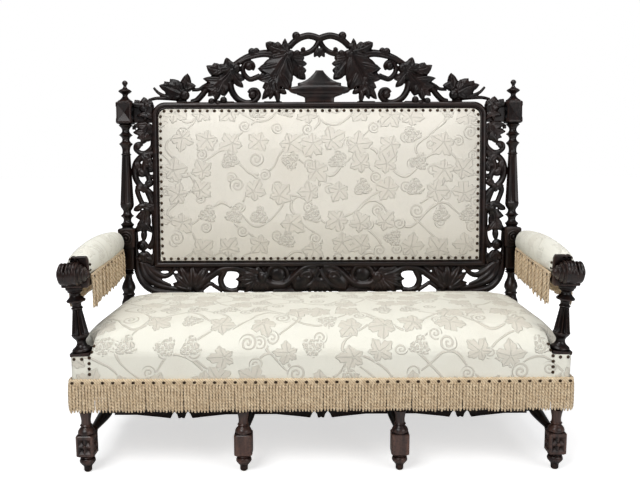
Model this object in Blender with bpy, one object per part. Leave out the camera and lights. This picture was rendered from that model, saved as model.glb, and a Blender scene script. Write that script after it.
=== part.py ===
# Carved oak settee with a sprung seat, a framed back panel and padded arms.
# Metres, +Z up, the sitter faces -Y. Heights of the back are measured up its own slope.
import bpy
import bmesh
import math
from mathutils import Matrix, Vector

for old in list(bpy.data.objects):
    bpy.data.objects.remove(old, do_unlink=True)

# Driving sizes of the seat frame
LEG_SPACING = 1.550          # between the outer front legs, on centres
SEAT_DEPTH = 0.600           # front leg centre to back post axis
RAIL_TOP = 0.400
RAIL_HEIGHT = 0.138
RAIL_THICK = 0.045
LEG_BLOCK = 0.060            # square part of the corner legs, where the rails join
CROSS_RAIL_HEIGHT = 0.080
TENON_LENGTH = 0.020
TENON_THICK = 0.014
TENON_FOOT = 0.020           # rail bottom to tenon
TENON_HEAD = 0.056           # tenon to rail top
CROSS_TENON_LENGTH = 0.013
CROSS_TENON_FOOT = 0.046
CROSS_TENON_HEIGHT = 0.024
DOWEL_RADIUS = 0.010
DOWEL_LENGTH = 0.032

# Driving sizes of the legs and stretchers
FOOT_HEIGHT = 0.058
LEG_SQUARE = 0.059           # lower square of a front leg
LEG_SQUARE_HEIGHT = 0.072
LEG_NECK_RADIUS = 0.0155
REAR_LEG_RAKE = math.radians(7.0)
REAR_LEG_TOP = 0.054
REAR_LEG_FOOT = 0.040
STRETCHER_Z = 0.115
STRETCHER_END_RADIUS = 0.0125
STRETCHER_SWELL_RADIUS = 0.029
STRETCHER_BLOCK = 0.052
STRETCHER_BOARD_THICK = 0.022
STRETCHER_BOARD_TOP = 0.150
STRETCHER_BOARD_LOW = 0.060  # lowest lobe of the scalloped edge
STRETCHER_PEG_RADIUS = 0.009
STRETCHER_PEG_LENGTH = 0.015

# Driving sizes of the back
BACK_RAKE = math.radians(4.0)
PANEL_BOTTOM = 0.185         # above the seat rail, up the slope
PANEL_HEIGHT = 0.650
VINE_PANEL_WIDTH = 0.080     # between a back post and the panel stile
PANEL_LIP = 0.025            # show width of the panel frame
PANEL_REBATE = 0.022         # width of the ledge behind the padding
PANEL_THICK = 0.036
PANEL_LEDGE_THICK = 0.016
POST_SQUARE = 0.066
POST_NECK_RADIUS = 0.014
POST_RING_RADIUS = 0.0265
POST_SHAFT_TOP_RADIUS = 0.0165
POST_LOWER_SQUARE = 0.056
UPPER_BLOCK_HEIGHT = 0.086
UPPER_BLOCK_RISE = 0.007     # block top above the panel top
ARM_BLOCK_LOW = 0.170
ARM_BLOCK_HIGH = 0.338
FINIAL_HEIGHT = 0.083
LINK_HEIGHT = 0.076
LINK_THICK = 0.030
LINK_TENON = 0.012
LOWER_RAIL_DROP = 0.102      # carved rail below the panel frame
LOWER_RAIL_THICK = 0.022
LOWER_STRIP_HEIGHT = 0.020
CREST_OVERHANG = 0.010       # of the crest's end tendril past the panel frame
CREST_HEIGHT = 0.277
CREST_THICK = 0.028
VINE_RADIUS = 0.0120
URN_HEIGHT = 0.124
URN_WIDTH = 0.242
URN_THICK = 0.040
BACK_PAD_CROWN = 0.034
BACK_PAD_EDGE = 0.013
BACK_COVER_THICK = 0.006

# Driving sizes of the arms
ARM_POST_HEIGHT = 0.222
ARM_POST_SPLAY = math.radians(4.5)
ARM_PLINTH = 0.061
ARM_POST_WIDEST = 0.0275
ARM_PEG_RADIUS = 0.0115
ARM_PEG_LENGTH = 0.044
ARM_TOP_PEG_LENGTH = 0.018
ARM_OUTSET = 0.008           # arm centre at the scroll, outside the leg centre
ARM_REAR_SHIFT = 0.017       # outward drift of the arm at the back post
ARM_FRONT_WIDTH = 0.092
ARM_REAR_WIDTH = 0.052
ARM_THICK = 0.035
ARM_TENON_WIDTH = 0.020
ARM_TENON_HEIGHT = 0.018
SCROLL_WIDTH = 0.108
SCROLL_RADIUS = 0.035
SCROLL_FORWARD = 0.042       # scroll centre in front of the leg centre
SCROLL_RIBS = 5
SCROLL_PLATE_WIDTH = 0.060
SCROLL_PLATE_HEIGHT = 0.028
ARM_PAD_HEIGHT = 0.068
ARM_PAD_CROWN = 0.040        # extra rise half way along

# Driving sizes of the padding and trimmings
SEAT_CROWN = 0.093
SKIRT_THICK = 0.006
SKIRT_DROP = 0.100
FRINGE_TOP_DROP = 0.063      # rail top to fringe top
FRINGE_LENGTH = 0.119
FRINGE_HEADING = 0.028
FRINGE_BASE = 0.005
FRINGE_WAVE = 0.007
FRINGE_RIBS = 40
ARM_FRINGE_LENGTH = 0.104
ARM_FRINGE_HEADING = 0.014
WEBBING_THICK = 0.003
WEBBING_WIDTH = 0.055
BAY_STRAPS = 3               # webbing straps across each bay between the legs
SPRING_RADIUS = 0.052
SPRING_WIRE = 0.0022
SPRING_TURNS = 3

# Clearances
SEAT_GAP = 0.0003            # between pieces that touch on the bench
HOLE_GAP = 0.0003            # round a tenon, peg or dowel
NOTCH_GAP = 0.0020           # round a post that comes up through the seat cover
STAGGER = 0.0004             # step in depth between the members of one carving

# Values that follow from the driving sizes
LEG_X = LEG_SPACING / 2
INNER_X = LEG_X / 3
HALF_BLOCK = LEG_BLOCK / 2
RAIL_BOTTOM = RAIL_TOP - RAIL_HEIGHT
FRONT_FACE = -HALF_BLOCK
FRONT_RAIL_Y = FRONT_FACE + RAIL_THICK / 2
REAR_RAIL_Y = SEAT_DEPTH + HALF_BLOCK - RAIL_THICK / 2
SIDE_RAIL_X = LEG_X + HALF_BLOCK - RAIL_THICK / 2
PANEL_TOP = PANEL_BOTTOM + PANEL_HEIGHT
HALF_PANEL = LEG_X - POST_SQUARE / 2 - VINE_PANEL_WIDTH
CREST_HALF_SPAN = HALF_PANEL + CREST_OVERHANG
UPPER_BLOCK_HIGH = PANEL_TOP + UPPER_BLOCK_RISE
UPPER_BLOCK_LOW = UPPER_BLOCK_HIGH - UPPER_BLOCK_HEIGHT
ARM_X = LEG_X + ARM_OUTSET
ARM_BOTTOM = RAIL_TOP + ARM_POST_HEIGHT + SEAT_GAP
ARM_TOP = ARM_BOTTOM + ARM_THICK
TENON_LOW = RAIL_BOTTOM + TENON_FOOT
TENON_HIGH = RAIL_TOP - TENON_HEAD
STRETCHER_MID_Y = SEAT_DEPTH / 2

ROUND = 0
SQUARE = 1
SIDES = 12                   # of a turned piece, a multiple of four so that squares keep their corners
PLAIN_SIDES = 8              # of stretchers and peg holes
STEM_SIDES = 5               # of a carved stem


def make_material(name, colour, roughness, metallic=0.0):
    material = bpy.data.materials.new(name)
    material.use_nodes = True
    shader = material.node_tree.nodes["Principled BSDF"]
    shader.inputs["Base Color"].default_value = (*colour, 1.0)
    shader.inputs["Roughness"].default_value = roughness
    shader.inputs["Metallic"].default_value = metallic
    return material


OAK = make_material("dark_oak", (0.035, 0.022, 0.017), 0.42)
CARVED = make_material("carved_oak", (0.026, 0.018, 0.015), 0.45)
CLOTH = make_material("cream_jacquard", (0.78, 0.73, 0.62), 0.80)
FRINGE = make_material("bullion_fringe", (0.52, 0.42, 0.29), 0.85)
LINEN = make_material("linen_back", (0.45, 0.38, 0.28), 0.90)
JUTE = make_material("jute_webbing", (0.40, 0.30, 0.18), 0.90)
STEEL = make_material("spring_wire", (0.32, 0.30, 0.28), 0.45, 0.9)

# The whole settee hangs from one empty, and the sloping back from another
root = bpy.data.objects.new("settee_origin", None)
bpy.context.scene.collection.objects.link(root)
back = bpy.data.objects.new("back_slope", None)
bpy.context.scene.collection.objects.link(back)
back.parent = root
back.location = (0.0, SEAT_DEPTH, RAIL_TOP)
back.rotation_euler = (-BACK_RAKE, 0.0, 0.0)


def add_object(name, bm, material, parent):
    bmesh.ops.recalc_face_normals(bm, faces=bm.faces)
    mesh = bpy.data.meshes.new(name)
    bm.to_mesh(mesh)
    bm.free()
    mesh.shade_smooth()
    mesh.set_sharp_from_angle(angle=math.radians(35))
    mesh.materials.append(material)
    obj = bpy.data.objects.new(name, mesh)
    bpy.context.scene.collection.objects.link(obj)
    obj.parent = parent
    return obj


def loft(name, rings, material, parent=None):
    """Closed body through rings of points, all of the same count."""
    bm = bmesh.new()
    loops = []
    for ring in rings:
        loops.append([bm.verts.new(point) for point in ring])
    count = len(loops[0])
    for lower, upper in zip(loops, loops[1:]):
        for i in range(count):
            j = (i + 1) % count
            bm.faces.new((lower[i], lower[j], upper[j], upper[i]))
    bm.faces.new(list(reversed(loops[0])))
    bm.faces.new(loops[-1])
    return add_object(name, bm, material, parent or root)


def as_guide(obj):
    obj.hide_render = True
    obj.display_type = 'WIRE'
    return obj


def cut(obj, cutter):
    as_guide(cutter)
    modifier = obj.modifiers.new("cut", 'BOOLEAN')
    modifier.operation = 'DIFFERENCE'
    modifier.solver = 'EXACT'
    modifier.object = cutter


def join(obj, other):
    as_guide(other)
    modifier = obj.modifiers.new("join", 'BOOLEAN')
    modifier.operation = 'UNION'
    modifier.solver = 'EXACT'
    modifier.object = other


def fuse(name, members, material):
    """One carved body from overlapping members; the first one carries the rest."""
    body = members[0]
    body.name = name
    body.data.name = name
    body.data.materials[0] = material
    group = bpy.data.collections.new(name + "_members")
    bpy.context.scene.collection.children.link(group)
    for index, member in enumerate(members[1:]):
        as_guide(member)
        member.location.y = STAGGER * ((5 * index) % 9 - 4)
        bpy.context.scene.collection.objects.unlink(member)
        group.objects.link(member)
    modifier = body.modifiers.new("members", 'BOOLEAN')
    modifier.operation = 'UNION'
    modifier.solver = 'EXACT'
    modifier.operand_type = 'COLLECTION'
    modifier.collection = group
    return body


def outline(half, shape, count=SIDES):
    """Points round a circle or a square of the same half width."""
    points = []
    for k in range(count):
        angle = math.radians(45.0) + 2.0 * math.pi * k / count
        reach = half
        if shape == SQUARE:
            reach = half / max(abs(math.cos(angle)), abs(math.sin(angle)))
        points.append((reach * math.cos(angle), reach * math.sin(angle)))
    return points


def upright_rings(profile, x=0.0, y=0.0, count=SIDES):
    rings = []
    for height, half, shape in profile:
        rings.append([Vector((x + u, y + v, height)) for u, v in outline(half, shape, count)])
    return rings


def box_rings(low, high):
    """Two rings of a box that runs along X."""
    rings = []
    for x in (low[0], high[0]):
        rings.append([Vector((x, y, z)) for y, z in
                      ((low[1], low[2]), (high[1], low[2]), (high[1], high[2]), (low[1], high[2]))])
    return rings


def box(name, low, high, material=OAK, parent=None):
    return loft(name, box_rings(low, high), material, parent)


def grown_box(name, low, high, parent=None):
    """Cutter that leaves the hole clearance round a tenon."""
    gap = Vector((HOLE_GAP, HOLE_GAP, HOLE_GAP))
    return box(name, Vector(low) - gap, Vector(high) + gap, OAK, parent)


def tenoned_bar(name, low, high, tenon_low, tenon_high, axis, material=OAK, parent=None):
    """Bar along X or Y whose ends step down to tenons."""
    rings = []
    stations = [(tenon_low[axis], tenon_low, tenon_high), (low[axis], tenon_low, tenon_high),
                (low[axis], low, high), (high[axis], low, high),
                (high[axis], tenon_low, tenon_high), (tenon_high[axis], tenon_low, tenon_high)]
    other = 1 - axis
    for place, near, far in stations:
        ring = []
        for side, height in ((near, near), (far, near), (far, far), (near, far)):
            point = [0.0, 0.0, height[2]]
            point[axis] = place
            point[other] = side[other]
            ring.append(Vector(point))
        rings.append(ring)
    return loft(name, rings, material, parent)


def peg_hole(name, radius, start, end, parent=None):
    """Round cutter between two points."""
    start = Vector(start)
    end = Vector(end)
    along = (end - start).normalized()
    turn = along.to_track_quat('Z', 'Y')
    rings = []
    for centre in (start, end):
        ring = []
        for u, v in outline((radius + HOLE_GAP) / math.cos(math.pi / PLAIN_SIDES), ROUND, PLAIN_SIDES):
            ring.append(centre + turn @ Vector((u, v, 0.0)))
        rings.append(ring)
    return loft(name, rings, OAK, parent)


def post_centre(height):
    """Axis of a back post at a height above the seat rail, up the slope, in the settee's frame."""
    return Vector((0.0, SEAT_DEPTH + height * math.sin(BACK_RAKE), RAIL_TOP + height * math.cos(BACK_RAKE)))


def post_front(z, half):
    """Y of a back post's front face at a height above the floor."""
    return SEAT_DEPTH + (z - RAIL_TOP) * math.tan(BACK_RAKE) - half / math.cos(BACK_RAKE)


def rear_leg_shift(z):
    return (RAIL_BOTTOM - z) * math.tan(REAR_LEG_RAKE)


def rear_leg_half(z, top):
    """Half width of a tapered rear leg whose top has the given width."""
    return (REAR_LEG_FOOT + (top - REAR_LEG_FOOT) * z / RAIL_BOTTOM) / 2


# Seat frame

def seat_frame():
    rails = {}
    reach = LEG_X - HALF_BLOCK - SEAT_GAP
    for name, y in (("seat_rail_front", FRONT_RAIL_Y), ("seat_rail_rear", REAR_RAIL_Y)):
        rails[name] = tenoned_bar(
            name, (-reach, y - RAIL_THICK / 2, RAIL_BOTTOM), (reach, y + RAIL_THICK / 2, RAIL_TOP),
            (-reach - TENON_LENGTH, y - TENON_THICK / 2, TENON_LOW),
            (reach + TENON_LENGTH, y + TENON_THICK / 2, TENON_HIGH), 0)
    near = HALF_BLOCK + SEAT_GAP
    far = SEAT_DEPTH - HALF_BLOCK - SEAT_GAP
    for name, side in (("seat_rail_left", -1), ("seat_rail_right", 1)):
        x = side * SIDE_RAIL_X
        rails[name] = tenoned_bar(
            name, (x - RAIL_THICK / 2, near, RAIL_BOTTOM), (x + RAIL_THICK / 2, far, RAIL_TOP),
            (x - TENON_THICK / 2, near - TENON_LENGTH, TENON_LOW),
            (x + TENON_THICK / 2, far + TENON_LENGTH, TENON_HIGH), 1)
    near = FRONT_RAIL_Y + RAIL_THICK / 2 + SEAT_GAP
    far = REAR_RAIL_Y - RAIL_THICK / 2 - SEAT_GAP
    tenon_low = RAIL_BOTTOM + CROSS_TENON_FOOT
    tenon_high = tenon_low + CROSS_TENON_HEIGHT
    for name, side in (("seat_cross_rail_left", -1), ("seat_cross_rail_right", 1)):
        x = side * INNER_X
        tenoned_bar(
            name, (x - RAIL_THICK / 2, near, RAIL_BOTTOM),
            (x + RAIL_THICK / 2, far, RAIL_BOTTOM + CROSS_RAIL_HEIGHT),
            (x - TENON_THICK / 2, near - CROSS_TENON_LENGTH, tenon_low),
            (x + TENON_THICK / 2, far + CROSS_TENON_LENGTH, tenon_high), 1)
        for rail, start, end in (("seat_rail_front", near - CROSS_TENON_LENGTH, near + TENON_LENGTH),
                                 ("seat_rail_rear", far - TENON_LENGTH, far + CROSS_TENON_LENGTH)):
            cut(rails[rail], grown_box(rail + "_mortise", (x - TENON_THICK / 2, start, tenon_low),
                                       (x + TENON_THICK / 2, end, tenon_high)))
        cut(rails["seat_rail_front"], peg_hole("front_dowel_hole", DOWEL_RADIUS,
                                               (x, 0.0, RAIL_BOTTOM - DOWEL_LENGTH),
                                               (x, 0.0, RAIL_BOTTOM + DOWEL_LENGTH + HOLE_GAP)))
        half = DOWEL_RADIUS
        cut(rails["seat_rail_rear"], grown_box("rear_leg_mortise",
                                               (x - half, REAR_RAIL_Y - half, RAIL_BOTTOM - DOWEL_LENGTH),
                                               (x + half, REAR_RAIL_Y + half, RAIL_BOTTOM + DOWEL_LENGTH)))


def cut_rail_mortises(leg, side, y, into):
    """Mortises of a corner leg for the long rail and the side rail; into points along the side rail."""
    inner = LEG_X - HALF_BLOCK
    x_ends = sorted((side * (inner - TENON_LENGTH), side * (inner + TENON_LENGTH)))
    rail_y = FRONT_RAIL_Y if into > 0 else REAR_RAIL_Y
    cut(leg, grown_box("long_rail_mortise", (x_ends[0], rail_y - TENON_THICK / 2, TENON_LOW),
                       (x_ends[1], rail_y + TENON_THICK / 2, TENON_HIGH)))
    face = y + into * HALF_BLOCK
    y_ends = sorted((face - into * TENON_LENGTH, face + into * TENON_LENGTH))
    x = side * SIDE_RAIL_X
    cut(leg, grown_box("side_rail_mortise", (x - TENON_THICK / 2, y_ends[0], TENON_LOW),
                       (x + TENON_THICK / 2, y_ends[1], TENON_HIGH)))


# Legs and stretchers

def front_leg_profile(neck_top):
    """Turned foot, square and neck, from the floor up."""
    square = LEG_SQUARE / 2
    low = FOOT_HEIGHT
    high = FOOT_HEIGHT + LEG_SQUARE_HEIGHT
    neck = neck_top - high
    foot = ((0.00, 0.42), (0.10, 0.46), (0.36, 0.42), (0.62, 0.82), (0.80, 0.85), (0.94, 0.66))
    profile = [(low * share, square * width, ROUND) for share, width in foot]
    profile += [(low, square, SQUARE), (high, square, SQUARE)]
    turned = ((0.03, 1.75), (0.18, 1.12), (0.235, 1.25), (0.28, 1.02), (0.50, 1.0), (0.68, 1.40),
              (0.92, 1.76))
    profile += [(high + neck * share, LEG_NECK_RADIUS * width, ROUND) for share, width in turned]
    return profile


def front_legs():
    for name, side in (("front_leg_outer_left", -1), ("front_leg_outer_right", 1)):
        profile = front_leg_profile(RAIL_BOTTOM)
        profile += [(RAIL_BOTTOM, HALF_BLOCK, SQUARE), (RAIL_TOP, HALF_BLOCK, SQUARE)]
        leg = loft(name, upright_rings(profile, side * LEG_X), OAK)
        cut_rail_mortises(leg, side, 0.0, 1)
        foot = arm_post_point(side, -ARM_PEG_LENGTH - HOLE_GAP)
        cut(leg, peg_hole("arm_post_socket", ARM_PEG_RADIUS, foot, arm_post_point(side, ARM_PEG_LENGTH)))
        cut(leg, stretcher_hole(side * LEG_X, LEG_SQUARE / 2))
    for name, side in (("front_leg_inner_left", -1), ("front_leg_inner_right", 1)):
        top = RAIL_BOTTOM - SEAT_GAP
        profile = front_leg_profile(top)
        cap = LEG_NECK_RADIUS * 1.6
        profile += [(top, cap, ROUND), (top, DOWEL_RADIUS, ROUND),
                    (RAIL_BOTTOM + DOWEL_LENGTH, DOWEL_RADIUS, ROUND)]
        leg = loft(name, upright_rings(profile, side * INNER_X), OAK)
        cut(leg, stretcher_hole(side * INNER_X, LEG_SQUARE / 2))


def rear_inner_legs():
    for name, side in (("rear_leg_inner_left", -1), ("rear_leg_inner_right", 1)):
        rings = []
        top = RAIL_BOTTOM - SEAT_GAP
        for z in (0.0, top):
            rings += upright_rings([(z, rear_leg_half(z, REAR_LEG_TOP), SQUARE)], side * INNER_X,
                                   REAR_RAIL_Y + rear_leg_shift(z), 4)
        for z in (top, RAIL_BOTTOM + DOWEL_LENGTH):
            rings += upright_rings([(z, DOWEL_RADIUS, SQUARE)], side * INNER_X, REAR_RAIL_Y, 4)
        leg = loft(name, rings, OAK)
        cut(leg, rear_stretcher_hole(side * INNER_X, REAR_RAIL_Y, REAR_LEG_TOP))


def stretcher_hole(x, face):
    return peg_hole("stretcher_socket", STRETCHER_PEG_RADIUS,
                    (x, face - STRETCHER_PEG_LENGTH - HOLE_GAP, STRETCHER_Z),
                    (x, face + STRETCHER_PEG_LENGTH, STRETCHER_Z))


def rear_stretcher_hole(x, leg_y, leg_top):
    seat = stretcher_rear_end(leg_y, leg_top)
    return peg_hole("stretcher_socket", STRETCHER_PEG_RADIUS, (x, seat - STRETCHER_PEG_LENGTH, STRETCHER_Z),
                    (x, seat + STRETCHER_PEG_LENGTH + HOLE_GAP, STRETCHER_Z))


def stretcher_rear_end(leg_y, leg_top):
    """Shoulder of a side stretcher against a raked rear leg."""
    z = STRETCHER_Z + STRETCHER_END_RADIUS
    return leg_y + rear_leg_shift(z) - rear_leg_half(z, leg_top) - SEAT_GAP


def side_stretcher(name, x, leg_y, leg_top):
    start = LEG_SQUARE / 2 + SEAT_GAP
    end = stretcher_rear_end(leg_y, leg_top)
    half = STRETCHER_BLOCK / 2
    stations = [(start - STRETCHER_PEG_LENGTH, STRETCHER_PEG_RADIUS, ROUND),
                (start, STRETCHER_PEG_RADIUS, ROUND)]
    turned = ((0.00, 0.0), (0.16, 0.12), (0.22, 0.40), (0.28, 0.22), (0.76, 1.0), (0.94, 0.80))
    swell = STRETCHER_SWELL_RADIUS - STRETCHER_END_RADIUS
    span = STRETCHER_MID_Y - half - start
    for share, width in turned:
        stations.append((start + span * share, STRETCHER_END_RADIUS + swell * width, ROUND))
    stations += [(STRETCHER_MID_Y - half, half, SQUARE), (STRETCHER_MID_Y + half, half, SQUARE)]
    span = end - STRETCHER_MID_Y - half
    for share, width in reversed(turned):
        stations.append((end - span * share, STRETCHER_END_RADIUS + swell * width, ROUND))
    stations += [(end, STRETCHER_PEG_RADIUS, ROUND),
                 (end + STRETCHER_PEG_LENGTH, STRETCHER_PEG_RADIUS, ROUND)]
    rings = []
    for y, radius, shape in stations:
        rings.append([Vector((x + u, y, STRETCHER_Z + v)) for u, v in outline(radius, shape, PLAIN_SIDES)])
    body = loft(name, rings, OAK)
    peg = STRETCHER_PEG_LENGTH
    board = STRETCHER_BOARD_THICK / 4
    for side in (-1, 1):
        if abs(x + side * LEG_SPACING / 3) < LEG_X + half:
            ends = sorted((x + side * (half - peg), x + side * (half + peg)))
            cut(body, grown_box("board_mortise", (ends[0], STRETCHER_MID_Y - board, STRETCHER_Z - peg),
                                (ends[1], STRETCHER_MID_Y + board, STRETCHER_Z + peg)))


def scallop(share):
    """Lower edge of a stretcher board, from 0 at its lowest to 1 at its highest."""
    ends = max(0.0, 1.0 - share / 0.10) + max(0.0, 1.0 - (1.0 - share) / 0.10)
    lobes = 0.5 + 0.5 * math.cos(6.0 * math.pi * (share - 0.5))
    return 1.0 - min(1.0, ends + 0.62 * lobes * (1.0 - ends))


def long_stretcher(name, left_x):
    """Scalloped board between two side stretchers, tenoned into their blocks."""
    start = left_x + STRETCHER_BLOCK / 2 + SEAT_GAP
    end = left_x + LEG_SPACING / 3 - STRETCHER_BLOCK / 2 - SEAT_GAP
    peg = STRETCHER_PEG_LENGTH
    half = STRETCHER_BOARD_THICK / 2
    rise = (STRETCHER_BOARD_TOP - STRETCHER_BOARD_LOW) * 0.42

    def station(x, low, high, thick):
        return [Vector((x, STRETCHER_MID_Y + sy * thick, z)) for sy, z in
                ((-1, low), (1, low), (1, high), (-1, high))]

    tenon = (STRETCHER_Z - peg + HOLE_GAP, STRETCHER_Z + peg - HOLE_GAP, half / 2 - HOLE_GAP)
    rings = [station(start - peg + HOLE_GAP, *tenon), station(start, *tenon)]
    steps = 18
    for i in range(steps + 1):
        share = i / steps
        low = STRETCHER_BOARD_LOW + rise * scallop(share)
        rings.append(station(start + (end - start) * share, low, STRETCHER_BOARD_TOP, half))
    rings += [station(end, *tenon), station(end + peg - HOLE_GAP, *tenon)]
    loft(name, rings, OAK)


def stretchers():
    for name, x in (("side_stretcher_outer_left", -LEG_X), ("side_stretcher_outer_right", LEG_X)):
        side_stretcher(name, x, SEAT_DEPTH, LEG_BLOCK)
    for name, x in (("side_stretcher_inner_left", -INNER_X), ("side_stretcher_inner_right", INNER_X)):
        side_stretcher(name, x, REAR_RAIL_Y, REAR_LEG_TOP)
    for name, left_x in (("long_stretcher_left", -LEG_X), ("long_stretcher_middle", -INNER_X),
                         ("long_stretcher_right", INNER_X)):
        long_stretcher(name, left_x)


# Back posts

def tilted_ring(x, height, half, shape):
    """Ring square to the sloping post axis."""
    centre = post_centre(height)
    turn = Matrix.Rotation(-BACK_RAKE, 3, 'X')
    return [centre + Vector((x, 0.0, 0.0)) + turn @ Vector((u, v, 0.0)) for u, v in outline(half, shape)]


def post_levels():
    """Heights and half widths of the turned post above the seat rail."""
    ring = POST_RING_RADIUS
    neck = POST_NECK_RADIUS
    shaft = POST_SHAFT_TOP_RADIUS
    lower = ((0.28, ring * 1.1), (0.41, ring * 0.98), (0.46, ring * 0.80), (0.57, ring * 1.02), (0.84, neck),
             (0.94, ring * 0.95))
    levels = [(ARM_BLOCK_LOW * share, half, ROUND) for share, half in lower]
    waist = (ARM_TOP - RAIL_TOP) / math.cos(BACK_RAKE) + SEAT_GAP
    step = POST_SQUARE - POST_LOWER_SQUARE
    levels += [(ARM_BLOCK_LOW, POST_LOWER_SQUARE / 2, SQUARE), (waist, POST_LOWER_SQUARE / 2, SQUARE),
               (waist + step, POST_SQUARE / 2, SQUARE), (ARM_BLOCK_HIGH, POST_SQUARE / 2, SQUARE)]
    upper = ((0.038, ring), (0.081, neck), (0.12, ring), (0.172, neck), (0.23, ring), (0.37, ring * 0.88),
             (0.696, shaft), (0.706, shaft * 1.1), (0.716, shaft), (0.78, shaft), (0.806, ring),
             (0.847, neck), (0.89, ring), (0.933, neck), (0.98, ring))
    span = UPPER_BLOCK_LOW - ARM_BLOCK_HIGH
    levels += [(ARM_BLOCK_HIGH + span * share, half, ROUND) for share, half in upper]
    levels += [(UPPER_BLOCK_LOW, POST_SQUARE / 2, SQUARE), (UPPER_BLOCK_HIGH, POST_SQUARE / 2, SQUARE)]
    return levels


def back_posts():
    for name, side in (("back_post_left", -1), ("back_post_right", 1)):
        x = side * LEG_X
        foot = rear_leg_half(0.0, LEG_BLOCK)
        rings = upright_rings([(0.0, foot, SQUARE)], x, SEAT_DEPTH + rear_leg_shift(0.0))
        for z in (RAIL_BOTTOM, RAIL_TOP):
            rings += upright_rings([(z, HALF_BLOCK, SQUARE)], x, SEAT_DEPTH)
        for height, half, shape in post_levels():
            rings.append(tilted_ring(x, height, half, shape))
        post = loft(name, rings, OAK)
        cut_rail_mortises(post, side, SEAT_DEPTH, -1)
        cut(post, rear_stretcher_hole(x, SEAT_DEPTH, LEG_BLOCK))
        tenon = arm_tenon(side)
        cut(post, grown_box("arm_mortise", tenon[0], tenon[1] + Vector((0.0, HOLE_GAP, 0.0))))
        link = link_tenon(side)
        cut(post, grown_box("link_mortise", link[0], link[1], back))
        strip = lower_rail_tenon(side)
        cut(post, grown_box("lower_rail_mortise", strip[0], strip[1], back))
        cut(post, peg_hole("finial_socket", POST_NECK_RADIUS / 2, (x, 0.0, UPPER_BLOCK_HIGH - TENON_LENGTH),
                           (x, 0.0, UPPER_BLOCK_HIGH + TENON_LENGTH), back))


def finials():
    disc = POST_RING_RADIUS
    base = UPPER_BLOCK_HIGH + SEAT_GAP
    shape = ((0.0, 0.96), (0.055, 0.96), (0.12, 0.42), (0.27, 0.40), (0.38, 0.76), (0.45, 1.0), (0.52, 0.74),
             (0.60, 0.34), (0.72, 0.16), (0.79, 0.35), (0.87, 0.42), (0.95, 0.30), (1.0, 0.10))
    for name, side in (("finial_left", -1), ("finial_right", 1)):
        peg = POST_NECK_RADIUS / 2
        profile = [(base - TENON_LENGTH + HOLE_GAP, peg, ROUND), (base, peg, ROUND)]
        profile += [(base + FINIAL_HEIGHT * share, disc * width, ROUND) for share, width in shape]
        loft(name, upright_rings(profile, side * LEG_X, 0.0, PLAIN_SIDES), OAK, back)


# Panel frame, in the frame of the sloping back

def frame_section():
    """Rebated section: distance in from the outer edge and depth, front lip first."""
    half = PANEL_THICK / 2
    ledge = half - PANEL_LEDGE_THICK
    full = PANEL_LIP + PANEL_REBATE
    return ((0.0, half), (0.0, -half * 0.6), (PANEL_LIP * 0.3, -half), (PANEL_LIP, -half * 0.8),
            (PANEL_LIP, ledge), (full, ledge), (full, half))


def panel_frame():
    section = frame_section()
    mitre = SEAT_GAP / 2
    for name, edge, sign in (("panel_top_rail", PANEL_TOP, -1), ("panel_bottom_rail", PANEL_BOTTOM, 1)):
        rings = []
        for side in (-1, 1):
            rings.append([Vector((side * (HALF_PANEL - inset - mitre), y, edge + sign * inset))
                          for inset, y in section])
        loft(name, rings, OAK, back)
    for name, side in (("panel_stile_left", -1), ("panel_stile_right", 1)):
        rings = []
        for edge, sign in ((PANEL_BOTTOM, 1), (PANEL_TOP, -1)):
            rings.append([Vector((side * (HALF_PANEL - inset), y, edge + sign * (inset + mitre)))
                          for inset, y in section])
        stile = loft(name, rings, OAK, back)
        link = link_tenon(side)
        cut(stile, grown_box("link_mortise", link[0], link[1], back))


def link_ends(side):
    near = HALF_PANEL + SEAT_GAP
    far = LEG_X - POST_SQUARE / 2 - SEAT_GAP
    return sorted((side * near, side * far))


def link_heights():
    high = UPPER_BLOCK_HIGH - (UPPER_BLOCK_HEIGHT - LINK_HEIGHT) / 2
    return high - LINK_HEIGHT, high


def link_tenon(side):
    """Corners of the tenons of a link rail, from the stile into the post."""
    start, end = link_ends(side)
    low, high = link_heights()
    third = LINK_HEIGHT / 4
    half = LINK_THICK / 4
    return (Vector((start - LINK_TENON, -half, low + third)), Vector((end + LINK_TENON, half, high - third)))


def link_rails():
    for name, side in (("link_rail_left", -1), ("link_rail_right", 1)):
        start, end = link_ends(side)
        low, high = link_heights()
        half = LINK_THICK / 2
        tenon = link_tenon(side)
        tenoned_bar(name, (start, -half, low), (end, half, high), tenon[0], tenon[1], 0, CARVED, back)


# Carved work: leaves, vines, curls and berries

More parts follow.
